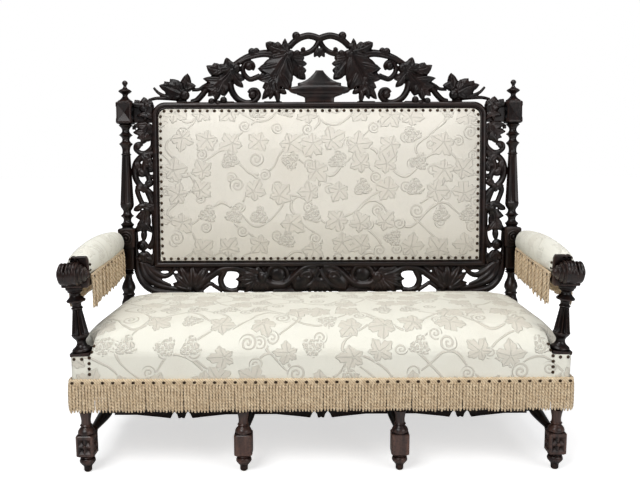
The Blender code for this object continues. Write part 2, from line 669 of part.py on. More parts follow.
def leaf(x, z, size, angle, sign=1, thick=CREST_THICK, fine=False):
    """Five lobed vine leaf, domed to the front, its stem at (x, z) and its tip along the angle."""
    lobes = ((0, 1.0), (52, 0.86), (108, 0.66))
    valleys = (0.54, 0.46)
    right = []
    for index, (turn, reach) in enumerate(lobes):
        if index and fine:
            right.append((turn - 11, reach * 0.80))
        right.append((turn, reach))
        right.append((turn + 12, reach * 0.80))
        if index < len(valleys):
            middle = (turn + lobes[index + 1][0]) / 2
            right.append((middle, valleys[index]))
    rim = right + [(180.0, 0.16)] + [(-turn, reach) for turn, reach in reversed(right[1:])]
    shift = 0.30 * size
    reach_out = 0.72 * size
    slant = math.radians(angle)
    bm = bmesh.new()

    def place(u, v, y):
        px = x + u * math.cos(slant) - v * math.sin(slant)
        pz = z + u * math.sin(slant) + v * math.cos(slant)
        return bm.verts.new((sign * px, y, pz))

    front = []
    rear = []
    for turn, reach in rim:
        u = shift + reach_out * reach * math.cos(math.radians(turn))
        v = reach_out * reach * math.sin(math.radians(turn))
        front.append(place(u, v, -thick * 0.16))
        rear.append(place(u, v, thick * 0.42))
    crown = place(shift, 0.0, -thick * 0.58)
    count = len(rim)
    for i in range(count):
        j = (i + 1) % count
        bm.faces.new((rear[i], rear[j], front[j], front[i]))
        bm.faces.new((front[i], front[j], crown))
    bm.faces.new(list(reversed(rear)))
    return add_object("leaf", bm, CARVED, back)


def smooth_path(points, steps):
    """Points on a smooth curve through the given ones."""
    path = []
    last = len(points) - 1
    for i in range(last):
        p0 = Vector(points[max(i - 1, 0)])
        p1 = Vector(points[i])
        p2 = Vector(points[i + 1])
        p3 = Vector(points[min(i + 2, last)])
        for k in range(steps):
            t = k / steps
            path.append(0.5 * (2 * p1 + (p2 - p0) * t + (2 * p0 - 5 * p1 + 4 * p2 - p3) * t * t
                               + (3 * p1 - p0 - 3 * p2 + p3) * t ** 3))
    path.append(Vector(points[last]))
    return path


def stem(points, start_radius, end_radius, sign=1, depth=0.0, steps=2):
    """Tapering round stem through points in the plane of the back."""
    path = smooth_path(points, steps)
    rings = []
    for i, point in enumerate(path):
        ahead = path[min(i + 1, len(path) - 1)]
        behind = path[max(i - 1, 0)]
        along = (ahead - behind).normalized()
        across = Vector((-along.y, along.x))
        radius = start_radius + (end_radius - start_radius) * i / (len(path) - 1)
        ring = []
        for k in range(STEM_SIDES):
            angle = 2.0 * math.pi * (k + 0.75) / STEM_SIDES
            place = point + across * radius * math.cos(angle)
            ring.append(Vector((sign * place.x, depth + radius * math.sin(angle), place.y)))
        rings.append(ring)
    return loft("stem", rings, CARVED, back)


def curl(x, z, radius, start, turns, thick, sign=1, depth=0.0, eye=0.5):
    """Stem points that wind in to an eye; angles in degrees."""
    points = []
    count = max(4, int(abs(turns) * 7))
    for i in range(count + 1):
        share = i / count
        reach = radius * (1.0 - (1.0 - eye) * share)
        angle = math.radians(start + 360.0 * turns * share)
        points.append((x + reach * math.cos(angle), z + reach * math.sin(angle)))
    return stem(points, thick, thick * 0.8, sign, depth, 1)


def berry(x, z, radius, sign=1, depth=0.0, flat=0.8):
    """Bun shaped berry, bud or boss facing the front."""
    rings = []
    for share in (-0.85, -0.2, 0.75):
        reach = radius * math.sqrt(1.0 - share * share)
        ring = []
        for k in range(6):
            angle = 2.0 * math.pi * k / 6
            ring.append(Vector((sign * x + reach * math.cos(angle), depth + radius * flat * share,
                                z + reach * math.sin(angle))))
        rings.append(ring)
    return loft("berry", rings, CARVED, back)


def crest():
    """Pierced vine cresting in two halves that meet over the middle of the panel."""
    span = CREST_HALF_SPAN
    rise = CREST_HEIGHT
    floor = PANEL_TOP + SEAT_GAP

    def at(u, v):
        return (u * span, floor + v * rise)

    for name, sign in (("crest_left", -1), ("crest_right", 1)):
        vine = VINE_RADIUS
        members = [stem([at(-0.02, 0.80), at(0.035, 0.93), at(0.085, 0.955), at(0.135, 0.93), at(0.185, 0.82),
                         at(0.225, 0.74)], vine * 0.95, vine * 1.1, sign)]
        members.append(stem([at(-0.02, 0.86), at(0.03, 0.76), at(0.085, 0.69), at(0.15, 0.69),
                             at(0.21, 0.74)], vine * 0.8, vine * 0.8, sign))
        members.append(leaf(*at(0.205, 0.76), 0.64 * rise, 276, sign, CREST_THICK, True))
        members.append(leaf(*at(0.225, 0.70), 0.42 * rise, 150, sign))
        members.append(leaf(*at(0.250, 0.60), 0.50 * rise, 305, sign))
        members.append(stem([at(0.20, 0.74), at(0.30, 0.80), at(0.385, 0.72), at(0.45, 0.60), at(0.53, 0.50)],
                            vine, vine, sign))
        members.append(curl(*at(0.425, 0.49), 0.042 * span, 90, -0.85, vine * 0.72, sign))
        members.append(stem([at(0.30, 0.55), at(0.345, 0.42), at(0.39, 0.42), at(0.425, 0.49)],
                            vine * 0.8, vine * 0.7, sign))
        members.append(leaf(*at(0.525, 0.50), 0.46 * rise, 200, sign))
        members.append(leaf(*at(0.545, 0.44), 0.46 * rise, 288, sign))
        members.append(leaf(*at(0.580, 0.42), 0.40 * rise, 345, sign))
        members.append(stem([at(0.50, 0.34), at(0.52, 0.20), at(0.485, 0.06), at(0.43, 0.0), at(0.375, 0.05),
                             at(0.36, 0.17), at(0.40, 0.22)], vine * 0.9, vine * 0.7, sign))
        members.append(stem([at(0.62, 0.38), at(0.665, 0.22), at(0.71, 0.06), at(0.77, 0.03), at(0.81, 0.12)],
                            vine, vine * 0.9, sign))
        members.append(leaf(*at(0.815, 0.14), 0.40 * rise, 75, sign))
        members.append(leaf(*at(0.835, 0.14), 0.42 * rise, 18, sign))
        members.append(stem([at(0.80, 0.09), at(0.87, 0.05), at(0.935, 0.12), at(1.0, 0.06)],
                            vine * 0.85, vine * 0.6, sign))
        members.append(stem([at(0.235, 0.30), at(0.300, 0.03)], vine * 0.6, vine * 1.2, sign))
        members.append(stem([at(0.585, 0.22), at(0.645, 0.02)], vine * 0.6, vine * 1.2, sign))
        body = fuse(name, members, CARVED)
        deep = CREST_THICK * 2
        cut(body, box("crest_seat", (-span * 1.2, -deep, floor - rise), (span * 1.2, deep, floor),
                      CARVED, back))
        middle = sorted((sign * SEAT_GAP / 2, -sign * span))
        cut(body, box("crest_joint", (middle[0], -deep, floor - rise), (middle[1], deep, floor + 2 * rise),
                      CARVED, back))


def crest_urn():
    """Stepped urn block that stands on the middle of the top rail."""
    base = PANEL_TOP + SEAT_GAP
    profile = ((0.0, 0.58, 0.8), (0.06, 0.48, 0.7), (0.16, 0.50, 0.7), (0.25, 0.74, 0.8), (0.30, 0.80, 0.85),
               (0.33, 1.0, 1.0), (0.39, 1.0, 1.0), (0.43, 0.86, 0.9), (0.58, 0.68, 0.75), (0.70, 0.40, 0.6),
               (0.82, 0.22, 0.5), (0.95, 0.15, 0.4), (1.0, 0.12, 0.35))
    rings = []
    for share, width, deep in profile:
        half = URN_WIDTH / 2 * width
        front = URN_THICK / 2 * deep
        ring = []
        for u, v in outline(1.0, SQUARE, 8):
            ring.append(Vector((u * half, v * front, base + URN_HEIGHT * share)))
        rings.append(ring)
    loft("crest_urn", rings, CARVED, back)


def vine_panels():
    """Pierced vine between each post and the panel stile."""
    low = PANEL_BOTTOM
    high = link_heights()[0] - SEAT_GAP
    tall = high - low
    left = HALF_PANEL + SEAT_GAP
    right = LEG_X - POST_SQUARE / 2 - SEAT_GAP
    middle = (left + right) / 2
    wide = (right - left) / 2
    leaf_length = 1.55 * wide
    thick = LINK_THICK * 0.8

    def at(u, v):
        return (middle + u * wide, low + v * tall)

    for name, sign in (("vine_panel_left", -1), ("vine_panel_right", 1)):
        vine = VINE_RADIUS * 0.85
        trunk = [at(0.0, -0.03), at(-0.20, 0.10), at(0.30, 0.24), at(-0.20, 0.40), at(0.10, 0.52),
                 at(0.55, 0.64), at(0.35, 0.76), at(-0.20, 0.88), at(0.0, 1.03)]
        members = [stem(trunk, vine * 1.1, vine, sign)]
        members.append(leaf(*at(-0.10, 1.00), leaf_length, 262, sign, thick))
        members.append(curl(*at(0.36, 0.80), wide * 0.44, 200, -0.85, vine * 0.85, sign))
        members.append(leaf(*at(-0.05, 0.53), leaf_length * 1.10, 262, sign, thick))
        members.append(stem([at(0.50, 0.68), at(0.05, 0.71), at(-0.45, 0.65)], vine * 0.8, vine * 0.8, sign))
        members.append(berry(*at(-0.40, 0.655), wide * 0.40, sign))
        members.append(berry(*at(-0.22, 0.590), wide * 0.44, sign))
        members.append(berry(*at(0.22, 0.235), wide * 0.40, sign))
        members.append(berry(*at(-0.04, 0.135), wide * 0.56, sign))
        members.append(leaf(*at(0.0, 0.0), leaf_length * 0.70, 90, sign, thick))
        body = fuse(name, members, CARVED)
        deep = PANEL_THICK
        side = sorted((sign * (left - wide), sign * (right + wide)))
        cut(body, box("vine_foot", (side[0], -deep, low - tall), (side[1], deep, low), CARVED, back))
        cut(body, box("vine_head", (side[0], -deep, high), (side[1], deep, high + tall), CARVED, back))
        inner = sorted((sign * left, sign * (left - 2 * wide)))
        cut(body, box("vine_inside", (inner[0], -deep, low - tall), (inner[1], deep, high + tall),
                      CARVED, back))
        outer = sorted((sign * right, sign * (right + 2 * wide)))
        cut(body, box("vine_outside", (outer[0], -deep, low - tall), (outer[1], deep, high + tall),
                      CARVED, back))


def lower_strip():
    """Heights of the straight strip along the top of the lower carved rail."""
    high = PANEL_BOTTOM - SEAT_GAP
    return high - LOWER_STRIP_HEIGHT, high


def lower_rail_tenon(side):
    low, high = lower_strip()
    face = LEG_X - POST_LOWER_SQUARE / 2 - SEAT_GAP
    ends = sorted((side * (face - LINK_TENON), side * (face + LINK_TENON)))
    third = LOWER_STRIP_HEIGHT / 4
    half = LOWER_RAIL_THICK / 4
    return (Vector((ends[0], -half, low + third)), Vector((ends[1], half, high - third)))


def lower_rail():
    """Carved rail from post to post under the panel: scrolls in the middle, pierced leafwork at the ends."""
    low, high = lower_strip()
    drop = LOWER_RAIL_DROP - LOWER_STRIP_HEIGHT
    half = LOWER_RAIL_THICK / 2
    face = LEG_X - POST_LOWER_SQUARE / 2 - SEAT_GAP
    over = TENON_LENGTH
    members = [box("strip", (-face - over, -half, low), (face + over, half, high + over), CARVED, back)]

    def at(u, v):
        return (u * face, low - v * drop)

    plate = []
    steps = 14
    for i in range(steps + 1):
        share = -1.0 + 2.0 * i / steps
        x, bottom = at(0.44 * share, 0.80 + 0.16 * math.cos(5.0 * math.pi * share))
        plate.append([Vector((x, sy * half * 0.72, z)) for sy, z in
                      ((-1, bottom), (1, bottom), (1, low + drop * 0.06), (-1, low + drop * 0.06))])
    members.append(loft("plate", plate, CARVED, back))
    bar = VINE_RADIUS * 0.9
    proud = -half * 0.55
    members.append(berry(*at(0.0, 0.62), bar * 1.9, 1, proud))
    for sign in (-1, 1):
        members.append(stem([at(0.012, 0.70), at(0.07, 0.40), at(0.14, 0.22), at(0.21, 0.30)],
                            bar, bar, sign, proud))
        members.append(curl(*at(0.215, 0.48), 0.036 * face, 100, -0.85, bar * 0.9, sign, proud))
        members.append(berry(*at(0.215, 0.48), bar * 1.5, sign, proud))
        members.append(leaf(*at(0.44, 0.30), drop * 1.0, 205, sign, LOWER_RAIL_THICK))
        members.append(curl(*at(0.485, 0.56), 0.040 * face, 150, 1.0, bar * 0.75, sign, 0.0, 0.98))
        members.append(stem([at(0.52, 0.80), at(0.60, 0.94), at(0.70, 0.93), at(0.80, 0.95), at(0.87, 0.98)],
                            bar, bar, sign, 0.0, 1))
        members.append(stem([at(0.51, 0.12), at(0.56, 0.34), at(0.62, 0.62), at(0.68, 0.88)],
                            bar, bar * 0.9, sign, 0.0, 1))
        members.append(stem([at(0.53, 0.66), at(0.60, 0.52), at(0.66, 0.20), at(0.72, -0.06)],
                            bar * 0.8, bar, sign, 0.0, 1))
        members.append(stem([at(0.74, 0.92), at(0.76, 0.60), at(0.82, 0.28), at(0.90, -0.02)],
                            bar, bar, sign, 0.0, 1))
        members.append(leaf(*at(0.955, -0.10), drop * 1.05, 238, sign, LOWER_RAIL_THICK))
        members.append(leaf(*at(0.90, 0.30), drop * 0.95, 262, sign, LOWER_RAIL_THICK))
    body = fuse("lower_carved_rail", members, CARVED)
    deep = PANEL_THICK
    tall = LOWER_RAIL_DROP
    cut(body, box("rail_head", (-face - tall, -deep, high), (face + tall, deep, high + 2 * tall),
                  CARVED, back))
    for sign in (-1, 1):
        ends = sorted((sign * face, sign * (face + 2 * tall)))
        cut(body, box("rail_end", (ends[0], -deep, low - 3 * tall), (ends[1], deep, high + 3 * tall),
                      CARVED, back))
        tenon = lower_rail_tenon(sign)
        join(body, box("rail_tenon", tenon[0], tenon[1], CARVED, back))


# Arms

def arm_post_point(side, height):
    """Point on the splayed axis of an arm post, measured up from the seat rail."""
    reach = LEG_X + height * math.sin(ARM_POST_SPLAY)
    return Vector((side * reach, 0.0, RAIL_TOP + height * math.cos(ARM_POST_SPLAY)))


def arm_posts():
    widest = ARM_POST_WIDEST
    shape = ((0.0, ARM_PLINTH / 2, SQUARE), (0.055, ARM_PLINTH / 2, SQUARE), (0.065, widest, ROUND),
             (0.105, widest * 1.10, ROUND), (0.180, widest * 0.53, ROUND),
             (0.205, widest * 0.55, ROUND), (0.300, widest, ROUND),
             (0.672, widest * 0.57, ROUND), (0.684, widest * 0.66, ROUND), (0.700, widest * 0.57, ROUND),
             (0.765, widest * 0.60, ROUND), (0.805, widest, ROUND), (0.860, widest * 0.60, ROUND),
             (0.920, widest * 0.60, ROUND), (0.965, widest * 0.94, ROUND), (1.0, widest * 0.94, ROUND))
    rise = ARM_POST_HEIGHT / math.cos(ARM_POST_SPLAY) - widest * math.tan(ARM_POST_SPLAY)
    lift = SEAT_GAP + ARM_PLINTH / 2 * math.tan(ARM_POST_SPLAY)
    for name, side in (("arm_post_left", -1), ("arm_post_right", 1)):
        profile = [(-ARM_PEG_LENGTH, ARM_PEG_RADIUS, ROUND), (lift, ARM_PEG_RADIUS, ROUND)]
        profile += [(lift + (rise - lift) * share, half, form) for share, half, form in shape]
        profile += [(rise, DOWEL_RADIUS, ROUND), (rise + ARM_TOP_PEG_LENGTH, DOWEL_RADIUS, ROUND)]
        turn = Matrix.Rotation(side * ARM_POST_SPLAY, 3, 'Y')
        foot = Vector((side * LEG_X, 0.0, RAIL_TOP))
        rings = []
        for ring in upright_rings(profile):
            rings.append([foot + turn @ point for point in ring])
        loft(name, rings, OAK)


def arm_side(share, edge):
    """X of an arm's inner (-1), middle (0) or outer (1) line, from the scroll to the post."""
    centre = ARM_X + ARM_REAR_SHIFT * share
    half = (ARM_FRONT_WIDTH + (ARM_REAR_WIDTH - ARM_FRONT_WIDTH) * share) / 2
    return centre + edge * half


def arm_rear(z, square=POST_LOWER_SQUARE):
    """Y where an arm ends against its post; the pad meets the wider square above it."""
    return post_front(z, square / 2) - SEAT_GAP


def arm_tenon(side):
    """Corners of the arm's tenon, which runs straight back into the post."""
    x = side * (arm_side(1.0, -1) + LEG_X + POST_SQUARE / 2) / 2
    z = (ARM_BOTTOM + ARM_TOP) / 2
    front = arm_rear(z)
    return (Vector((x - ARM_TENON_WIDTH / 2, front - TENON_LENGTH, z - ARM_TENON_HEIGHT / 2)),
            Vector((x + ARM_TENON_WIDTH / 2, front + TENON_LENGTH, z + ARM_TENON_HEIGHT / 2)))


def arms():
    scroll_z = ARM_BOTTOM + SCROLL_RADIUS * 1.12
    for name, side in (("arm_left", -1), ("arm_right", 1)):
        rings = []
        for share, y in ((0.0, -SCROLL_FORWARD), (1.0, None)):
            ring = []
            for edge, z in ((-1, ARM_BOTTOM), (1, ARM_BOTTOM), (1, ARM_TOP), (-1, ARM_TOP)):
                place = arm_rear(z) if y is None else y
                ring.append(Vector((side * arm_side(share, edge), place, z)))
            rings.append(ring)
        bar = loft("arm_bar", rings, OAK)
        scroll = []
        steps = 2 * SCROLL_RIBS
        half = SCROLL_WIDTH / 2
        stations = [(-1.0, 0.34), (-0.97, 0.40), (-0.95, 0.80)]
        for i in range(steps + 1):
            stations.append((-0.90 + 1.80 * i / steps, 1.0 if i % 2 else 0.88))
        stations += [(0.95, 0.80), (0.97, 0.40), (1.0, 0.34)]
        for share, reach in stations:
            x = side * (ARM_X + half * share)
            ring = []
            for u, v in outline(SCROLL_RADIUS * reach, ROUND):
                ring.append(Vector((x, -SCROLL_FORWARD + u, scroll_z + v)))
            scroll.append(ring)
        roll = loft("arm_scroll", scroll, OAK)
        plate = SCROLL_PLATE_WIDTH / 2
        x_ends = (side * ARM_X - plate, side * ARM_X + plate)
        head = box("arm_plate", (x_ends[0], -SCROLL_FORWARD, ARM_BOTTOM + SCROLL_RADIUS),
                   (x_ends[1], -SEAT_GAP, ARM_TOP + ARM_PAD_HEIGHT - SCROLL_PLATE_HEIGHT / 4))
        tenon = arm_tenon(side)
        peg = box("arm_peg", tenon[0], tenon[1])
        arm = fuse(name, [bar, roll, head, peg], OAK)
        top = arm_post_point(side, ARM_POST_HEIGHT)
        reach = arm_post_point(side, ARM_POST_HEIGHT + ARM_TOP_PEG_LENGTH + HOLE_GAP)
        low = arm_post_point(side, ARM_POST_HEIGHT - ARM_TOP_PEG_LENGTH)
        cut(arm, peg_hole("arm_post_top_socket", DOWEL_RADIUS, low, reach))
        flat = box("arm_underside", (top.x - SCROLL_WIDTH, -SEAT_DEPTH, ARM_BOTTOM - SCROLL_RADIUS),
                   (top.x + SCROLL_WIDTH, SEAT_DEPTH, ARM_BOTTOM))
        cut(arm, flat)


def arm_pads():
    """Plump pad on each arm: full in the middle, drawn in at both ends."""
    base = ARM_TOP + SEAT_GAP
    rising = ((-0.92, 0.0), (-1.02, 0.12), (-1.08, 0.34), (-1.0, 0.62), (-0.76, 0.86), (-0.38, 0.98))
    section = rising + ((0.0, 1.02),) + tuple((-u, v) for u, v in reversed(rising))
    stations = ((0.0, 0.84, 0.80), (0.03, 0.95, 0.92), (0.12, 1.0, 1.0), (0.30, 1.0, 1.0), (0.50, 1.0, 1.0),
                (0.70, 1.0, 1.0), (0.88, 1.0, 0.96), (0.97, 0.94, 0.84), (1.0, 0.82, 0.70))
    for name, side in (("arm_pad_left", -1), ("arm_pad_right", 1)):
        rings = []
        for share, wide, full in stations:
            half = (arm_side(share, 1) - arm_side(share, -1)) / 2 * wide
            tall = (ARM_PAD_HEIGHT + ARM_PAD_CROWN * math.sin(math.pi * share)) * full
            ring = []
            for u, v in section:
                z = base + v * tall
                y = SEAT_GAP + (arm_rear(z, POST_SQUARE) - 2 * SEAT_GAP) * share
                ring.append(Vector((side * (arm_side(share, 0) + u * half), y, z)))
            rings.append(ring)
        loft(name, rings, CLOTH)


# Padding, trimmings and the inside of the seat

def fringe(name, start, end, top, length, heading, ribs):
    """Hanging bullion fringe along a line in plan; it stands out to the right of the line."""
    start = Vector(start)
    end = Vector(end)
    along = end - start
    outward = Vector((along.y, -along.x)).normalized()
    rings = []
    levels = ((top - length, FRINGE_BASE, FRINGE_WAVE), (top - heading, FRINGE_BASE * 0.8, FRINGE_WAVE),
              (top - heading, FRINGE_BASE * 1.6, 0.0), (top, FRINGE_BASE * 1.6, 0.0))
    for z, base, wave in levels:
        ring = []
        for i in range(2 * ribs + 1):
            reach = base + (wave if i % 2 else 0.0)
            place = start + along * (i / (2 * ribs)) + outward * reach
            ring.append(Vector((place.x, place.y, z)))
        ring.append(Vector((end.x, end.y, z)))
        ring.append(Vector((start.x, start.y, z)))
        rings.append(ring)
    loft(name, rings, FRINGE)


def fringes():
    side_x = LEG_X + HALF_BLOCK + SEAT_GAP + SKIRT_THICK
    front_y = FRONT_FACE - SEAT_GAP - SKIRT_THICK
    top = RAIL_TOP - FRINGE_TOP_DROP
    rear_y = SEAT_DEPTH - HALF_BLOCK - NOTCH_GAP
    pitch = 2 * side_x / FRINGE_RIBS
    side_ribs = round((rear_y - front_y) / pitch)
    outer_x = side_x + SEAT_GAP
    runs = (("seat_fringe_front", (-side_x, front_y - SEAT_GAP), (side_x, front_y - SEAT_GAP), FRINGE_RIBS),
            ("seat_fringe_right", (outer_x, front_y), (outer_x, rear_y), side_ribs),
            ("seat_fringe_left", (-outer_x, rear_y), (-outer_x, front_y), side_ribs))
    for name, start, end, ribs in runs:
        fringe(name, start, end, top, FRINGE_LENGTH, FRINGE_HEADING, ribs)
    near = SEAT_GAP
    far = arm_rear(ARM_TOP - ARM_FRINGE_LENGTH, POST_SQUARE) - SEAT_GAP
    span = arm_rear(ARM_TOP) + SCROLL_FORWARD
    arm_ribs = round((far - near) / pitch)
    for label, side in (("left", -1), ("right", 1)):
        for place, edge in (("inner", -1), ("outer", 1)):
            ends = []
            for y in (near, far):
                share = (y + SCROLL_FORWARD) / span
                ends.append((side * (arm_side(share, edge) + edge * SEAT_GAP * 2), y))
            if side * edge < 0:
                ends.reverse()
            fringe("arm_fringe_%s_%s" % (label, place), ends[0], ends[1], ARM_TOP, ARM_FRINGE_LENGTH,
                   ARM_FRINGE_HEADING, arm_ribs)


def rounded_plan(half_x, front, rear, radius, pull):
    """Rounded rectangle in plan with sides drawn in a little between the corners."""
    arc_steps = 3
    plan = []
    corners = ((1, rear - radius, 0), (-1, rear - radius, 90), (-1, front + radius, 180),
               (1, front + radius, 270))
    inwards = (Vector((0.0, -1.0)), Vector((1.0, 0.0)), Vector((0.0, 1.0)), Vector((-1.0, 0.0)))
    for index, (side, centre_y, start) in enumerate(corners):
        for k in range(arc_steps + 1):
            angle = math.radians(start + 90.0 * k / arc_steps)
            plan.append(Vector((side * (half_x - radius) + radius * math.cos(angle),
                                centre_y + radius * math.sin(angle))))
        next_side, next_y, next_start = corners[(index + 1) % 4]
        turn = math.radians(next_start)
        ahead = Vector((next_side * (half_x - radius) + radius * math.cos(turn),
                        next_y + radius * math.sin(turn)))
        parts = 4 if index % 2 else 8
        last = plan[-1]
        for k in range(1, parts):
            share = k / parts
            plan.append(last.lerp(ahead, share) + inwards[index] * pull * math.sin(math.pi * share))
    return plan


def seat_cushion():
    """Domed seat over the rails, with skirts down their faces and notches for the posts."""
    half_x = LEG_X + HALF_BLOCK + SEAT_GAP + SKIRT_THICK
    front = FRONT_FACE - SEAT_GAP - SKIRT_THICK
    rear = REAR_RAIL_Y + RAIL_THICK / 4
    levels = ((-SKIRT_DROP, 0.0), (-0.02, 0.0), (0.0, 0.0), (0.20, 0.008), (0.42, 0.026), (0.64, 0.060),
              (0.84, 0.115), (0.96, 0.175), (1.0, 0.230))
    rings = []
    for share, inset in levels:
        z = RAIL_TOP + (share if share < 0 else share * SEAT_CROWN)
        plan = rounded_plan(half_x - inset, front + inset, rear - inset, 0.020 + inset * 0.2, 0.0)
        rings.append([Vector((p.x, p.y, z)) for p in plan])
    cushion = loft("seat_cushion", rings, CLOTH)
    inside_x = LEG_X + HALF_BLOCK + SEAT_GAP
    deep = RAIL_HEIGHT * 2
    cut(cushion, box("seat_inside", (-inside_x, FRONT_FACE - SEAT_GAP, RAIL_TOP - deep),
                     (inside_x, rear + deep, RAIL_TOP + SEAT_GAP)))
    plinth = ARM_PLINTH / 2 + NOTCH_GAP
    block = HALF_BLOCK + NOTCH_GAP
    for side in (-1, 1):
        x_ends = sorted((side * (LEG_X - plinth), side * (half_x + plinth)))
        cut(cushion, box("plinth_notch", (x_ends[0], front - plinth, RAIL_TOP - NOTCH_GAP),
                         (x_ends[1], plinth, RAIL_TOP + deep)))
        x_ends = sorted((side * (LEG_X - block), side * (half_x + block)))
        cut(cushion, box("post_notch", (x_ends[0], SEAT_DEPTH - block, RAIL_TOP - deep),
                         (x_ends[1], rear + block, RAIL_TOP + deep)))


def back_padding():
    """Crowned panel padding in the rebate of the frame, and the linen cover behind it."""
    half_x = HALF_PANEL - PANEL_LIP - SEAT_GAP
    low = PANEL_BOTTOM + PANEL_LIP + SEAT_GAP
    high = PANEL_TOP - PANEL_LIP - SEAT_GAP
    ledge = PANEL_THICK / 2 - PANEL_LEDGE_THICK - SEAT_GAP
    levels = ((0.0, 0.003, 0.0), (0.5, 0.0, 0.0), (1.0, 0.004, 0.0), (1.0, 0.022, 0.34), (1.0, 0.060, 0.66),
              (1.0, 0.120, 0.88), (1.0, 0.200, 0.97), (1.0, 0.270, 1.0))
    rings = []
    for edge, inset, crown in levels:
        y = ledge - BACK_PAD_EDGE * edge - BACK_PAD_CROWN * crown
        plan = rounded_plan(half_x - inset, low + inset, high - inset, 0.012 + inset * 0.3, 0.0015)
        rings.append([Vector((p.x, y, p.y)) for p in plan])
    loft("back_cushion", rings, CLOTH, back)
    cover_y = PANEL_THICK / 2 + SEAT_GAP
    inset = PANEL_LIP
    box("back_outside_cover", (-HALF_PANEL + inset, cover_y, PANEL_BOTTOM + inset),
        (HALF_PANEL - inset, cover_y + BACK_COVER_THICK, PANEL_TOP - inset), LINEN, back)


def seat_columns():
    """Places of the spring columns: the middle of each bay between the legs."""
    return [-LEG_SPACING / 3, 0.0, LEG_SPACING / 3]


def seat_rows():
    return [SEAT_DEPTH / 4, SEAT_DEPTH * 3 / 4]


def seat_webbing():
    """Interlaced webbing under the rails, with a strap below each row and column of springs."""
    bm = bmesh.new()
    half = WEBBING_WIDTH / 2
    reach_x = LEG_X + HALF_BLOCK - TENON_THICK
    reach_y = (FRONT_FACE + TENON_THICK, SEAT_DEPTH + HALF_BLOCK - TENON_THICK)
    pitch = LEG_SPACING / 3 / BAY_STRAPS
    columns = []
    for middle in seat_columns():
        columns += [middle + pitch * (i - (BAY_STRAPS - 1) / 2) for i in range(BAY_STRAPS)]
    xs = [-reach_x, reach_x]
    ys = list(reach_y)
    for x in columns:
        xs += [x - half, x + half]
    for y in seat_rows() + [SEAT_DEPTH / 2]:
        ys += [y - half, y + half]
    xs.sort()
    ys.sort()
    verts = {}
    z = RAIL_BOTTOM - SEAT_GAP

    def corner(i, j):
        if (i, j) not in verts:
            verts[(i, j)] = bm.verts.new((xs[i], ys[j], z))
        return verts[(i, j)]

    for i in range(len(xs) - 1):
        for j in range(len(ys) - 1):
            if i % 2 or j % 2:
                bm.faces.new((corner(i, j), corner(i + 1, j), corner(i + 1, j + 1), corner(i, j + 1)))
    faces = bmesh.ops.extrude_face_region(bm, geom=bm.faces[:])
    moved = [item for item in faces["geom"] if isinstance(item, bmesh.types.BMVert)]
    bmesh.ops.translate(bm, verts=moved, vec=(0.0, 0.0, -WEBBING_THICK))
    add_object("seat_webbing", bm, JUTE, root)


def seat_springs():
    """Coil springs that stand on the webbing and carry the seat."""
    low = RAIL_BOTTOM + SPRING_WIRE
    high = RAIL_TOP - SPRING_WIRE
    per_turn = 8
    count = SPRING_TURNS * per_turn
    number = 0
    least = None
    for y in seat_rows():
        for x in seat_columns():
            number += 1
            path = []
            for i in range(count + 1):
                share = i / count
                waist = SPRING_RADIUS * (1.0 - 0.30 * math.sin(math.pi * share))
                angle = 2.0 * math.pi * i / per_turn
                path.append(Vector((x + waist * math.cos(angle), y + waist * math.sin(angle),
                                    low + (high - low) * share)))
            curve = bpy.data.curves.new("seat_spring_%d" % number, 'CURVE')
            curve.dimensions = '3D'
            curve.bevel_depth = SPRING_WIRE
            curve.bevel_resolution = 0
            curve.use_fill_caps = True
            spline = curve.splines.new('POLY')
            spline.points.add(len(path) - 1)
            for point, place in zip(spline.points, path):
                point.co = (*place, 1.0)
            curve.materials.append(STEEL)
            spring = bpy.data.objects.new(curve.name, curve)
            bpy.context.scene.collection.objects.link(spring)
            spring.parent = root
            gaps = [(a - b).length for i, a in enumerate(path) for b in path[i + per_turn // 2:]]
            least = min(gaps) - 2 * SPRING_WIRE
    print("least gap between spring turns in mm:", round(least * 1000, 1))


def stand_on_origin():
    """Shift the whole settee so that the origin is under the middle of its bounding box."""
    bpy.context.view_layer.update()
    graph = bpy.context.evaluated_depsgraph_get()
    ys = []
    for obj in bpy.context.scene.objects:
        if obj.type in {'MESH', 'CURVE'} and not obj.hide_render:
            shape = obj.evaluated_get(graph)
            mesh = shape.to_mesh()
            ys += [(shape.matrix_world @ vertex.co).y for vertex in mesh.vertices]
            shape.to_mesh_clear()
    root.location.y = -(min(ys) + max(ys)) / 2
    bpy.context.view_layer.update()


seat_frame()
front_legs()
rear_inner_legs()
stretchers()
back_posts()
finials()
panel_frame()
link_rails()
crest()
crest_urn()
vine_panels()
lower_rail()
arm_posts()
arms()
arm_pads()
fringes()
seat_cushion()
back_padding()
seat_webbing()
seat_springs()
stand_on_origin()
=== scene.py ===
import math
import random
import bpy
import numpy as np
from mathutils import Matrix, Vector


